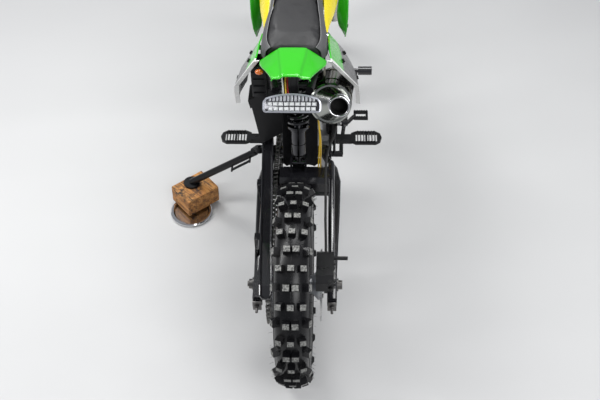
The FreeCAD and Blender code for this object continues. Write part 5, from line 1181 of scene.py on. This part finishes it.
# Rows: height, x and y of the rear edge, width of the bend
FLANGE = [
    (606, 128, 636, 9), (628, 130, 618, 17), (650, 131, 604, 24), (700, 133, 590, 31),
    (752, 133, 590, 25), (800, 120, 602, 9), (826, 107, 633, 4),
]


def tank_wings():
    """Yellow wings of the tank, running back along the seat to a point."""
    for side, label in SIDES:
        def place_of(across, share):
            y, x_top, z_top, x_low, z_low = along(WING, share)
            swell = 3.5 * math.sin(math.pi * across)
            return Vector((side * (x_low + (x_top - x_low) * across + swell), y,
                           z_low + (z_top - z_low) * across))

        wing = thickened(sheet(f"tank_wing_{label}", 8, 30, place_of), 3.0, side)
        settle(wing, "yellow", 50)


def shroud_flanges():
    """Green return edges of the shrouds, bent inwards at the rear."""
    for side, label in SIDES:
        def place_of(across, share):
            height, x, y, wide = along(FLANGE, share)
            return Vector((side * (x - wide * across), y - 2 + 9 * across ** 2,
                           height + 14 * across))

        flange = thickened(sheet(f"shroud_flange_{label}", 6, 24, place_of), 2.5, 0)
        settle(flange, "green", 50)


WIRE_RADIUS = 2.0
WIRES = {
    "red wire": [[(-14, 178, 861), (-9, 168, 836), (-12, 172, 812), (-8, 146, 786)]],
    "yellow wire": [[(-10, 180, 861), (-13, 166, 834), (-17, 174, 806), (-14, 144, 784)],
                    [(30, 505, 560), (48, 440, 522), (57, 392, 462), (58, 380, 420),
                     (54, 336, 364)],
                    [(30, 500, 548), (50, 436, 500), (60, 396, 440), (62, 382, 406),
                     (60, 336, 364)]],
    "white wire": [[(-22, 182, 861), (-26, 170, 832), (-23, 176, 808), (-20, 146, 784)]],
}


def wires():
    for finish, lines in WIRES.items():
        strands = [pipe("strand", line, WIRE_RADIUS) for line in lines]
        settle(joined(finish.replace(" ", "_"), strands), finish, 60)


def marker_lamp():
    """Small amber lamp under the left corner of the tail."""
    dome = start(bpy.ops.mesh.primitive_uv_sphere_add, "marker_lamp", segments=24, ring_count=12,
                 radius=1.0)
    dome.data.transform(moved(-83, 238, 782) @ sized(10, 8, 7))
    settle(dome, "amber", 60)
    base = rounded(rod("marker_base", 24, 8.5, 12), 1.0)
    base.data.transform(moved(-80, 246, 784) @ turned_by("X", 80))
    settle(base, "plastic", 40)


# Floor and light

FLOOR_SIDE = 60.0
SKY_STRENGTH = 0.34
# The camera sees the far backdrop in the colour of the far floor
SKY = (0.9, 0.93, 1.0)
BACKDROP = (0.53, 0.55, 0.59)


def add_floor():
    f = Finish("pale floor")
    f.colour(f.mix(f.noise(0.8, 6.0), (0.56, 0.56, 0.56), (0.62, 0.62, 0.615)))
    f.rough(f.noise(3.0), 0.55, 0.75)
    bpy.ops.mesh.primitive_plane_add(size=FLOOR_SIDE, location=(0, 1.5, 0))
    floor = bpy.context.object
    floor.name = "floor"
    floor.data.materials.append(f.material)


def add_sky():
    world = bpy.data.worlds.new("studio")
    world.use_nodes = True
    tree = world.node_tree
    chosen = tree.nodes.new("ShaderNodeMixShader")
    seen = tree.nodes.new("ShaderNodeLightPath")
    tree.links.new(seen.outputs["Is Camera Ray"], chosen.inputs[0])
    for socket, part, colour in ((1, tree.nodes["Background"], SKY),
                                 (2, tree.nodes.new("ShaderNodeBackground"), BACKDROP)):
        part.inputs["Color"].default_value = (*colour, 1.0)
        part.inputs["Strength"].default_value = SKY_STRENGTH
        tree.links.new(part.outputs["Background"], chosen.inputs[socket])
    tree.links.new(chosen.outputs["Shader"], tree.nodes["World Output"].inputs["Surface"])
    bpy.context.scene.world = world


LAMPS = [
    # name, place, look at, width, height, power
    ("key", (-1.8, 1.6, 3.4), (0.0, -0.1, 0.4), 1.1, 1.1, 54),
    ("fill", (1.2, -2.3, 2.2), (0.0, -0.1, 0.5), 1.5, 1.5, 38),
    ("top", (0.3, 0.4, 3.2), (0.0, 0.0, 0.2), 1.2, 1.2, 29),
    ("strip left", (-1.5, -0.5, 1.9), (0.0, -0.2, 0.4), 0.24, 1.8, 26),
    ("strip right", (1.4, 0.2, 2.2), (0.0, -0.2, 0.5), 0.16, 1.8, 15),
]


def add_lamps():
    for name, place, target, wide, high, power in LAMPS:
        lamp = bpy.data.lights.new(name, "AREA")
        lamp.shape = "RECTANGLE"
        lamp.size = wide
        lamp.size_y = high
        lamp.energy = power
        obj = bpy.data.objects.new(name, lamp)
        bpy.context.scene.collection.objects.link(obj)
        obj.matrix_world = aimed(place, Vector(place) - Vector(target))


add_camera()
FINISH = finishes()
dress_nodes()
tyres()
rear_mudguard()
front_mudguard()
seat_pad()
seat_covers()
tail_lamp()
drive_chain()
silencer_fittings()
wood_block()
screws()
mud_flap()
wiring_box()
chain_adjusters()
peg_teeth()
vent_hairs()
tank_wings()
shroud_flanges()
wires()
marker_lamp()
add_floor()
add_sky()
add_lamps()
bpy.context.scene.view_settings.view_transform = "Standard"
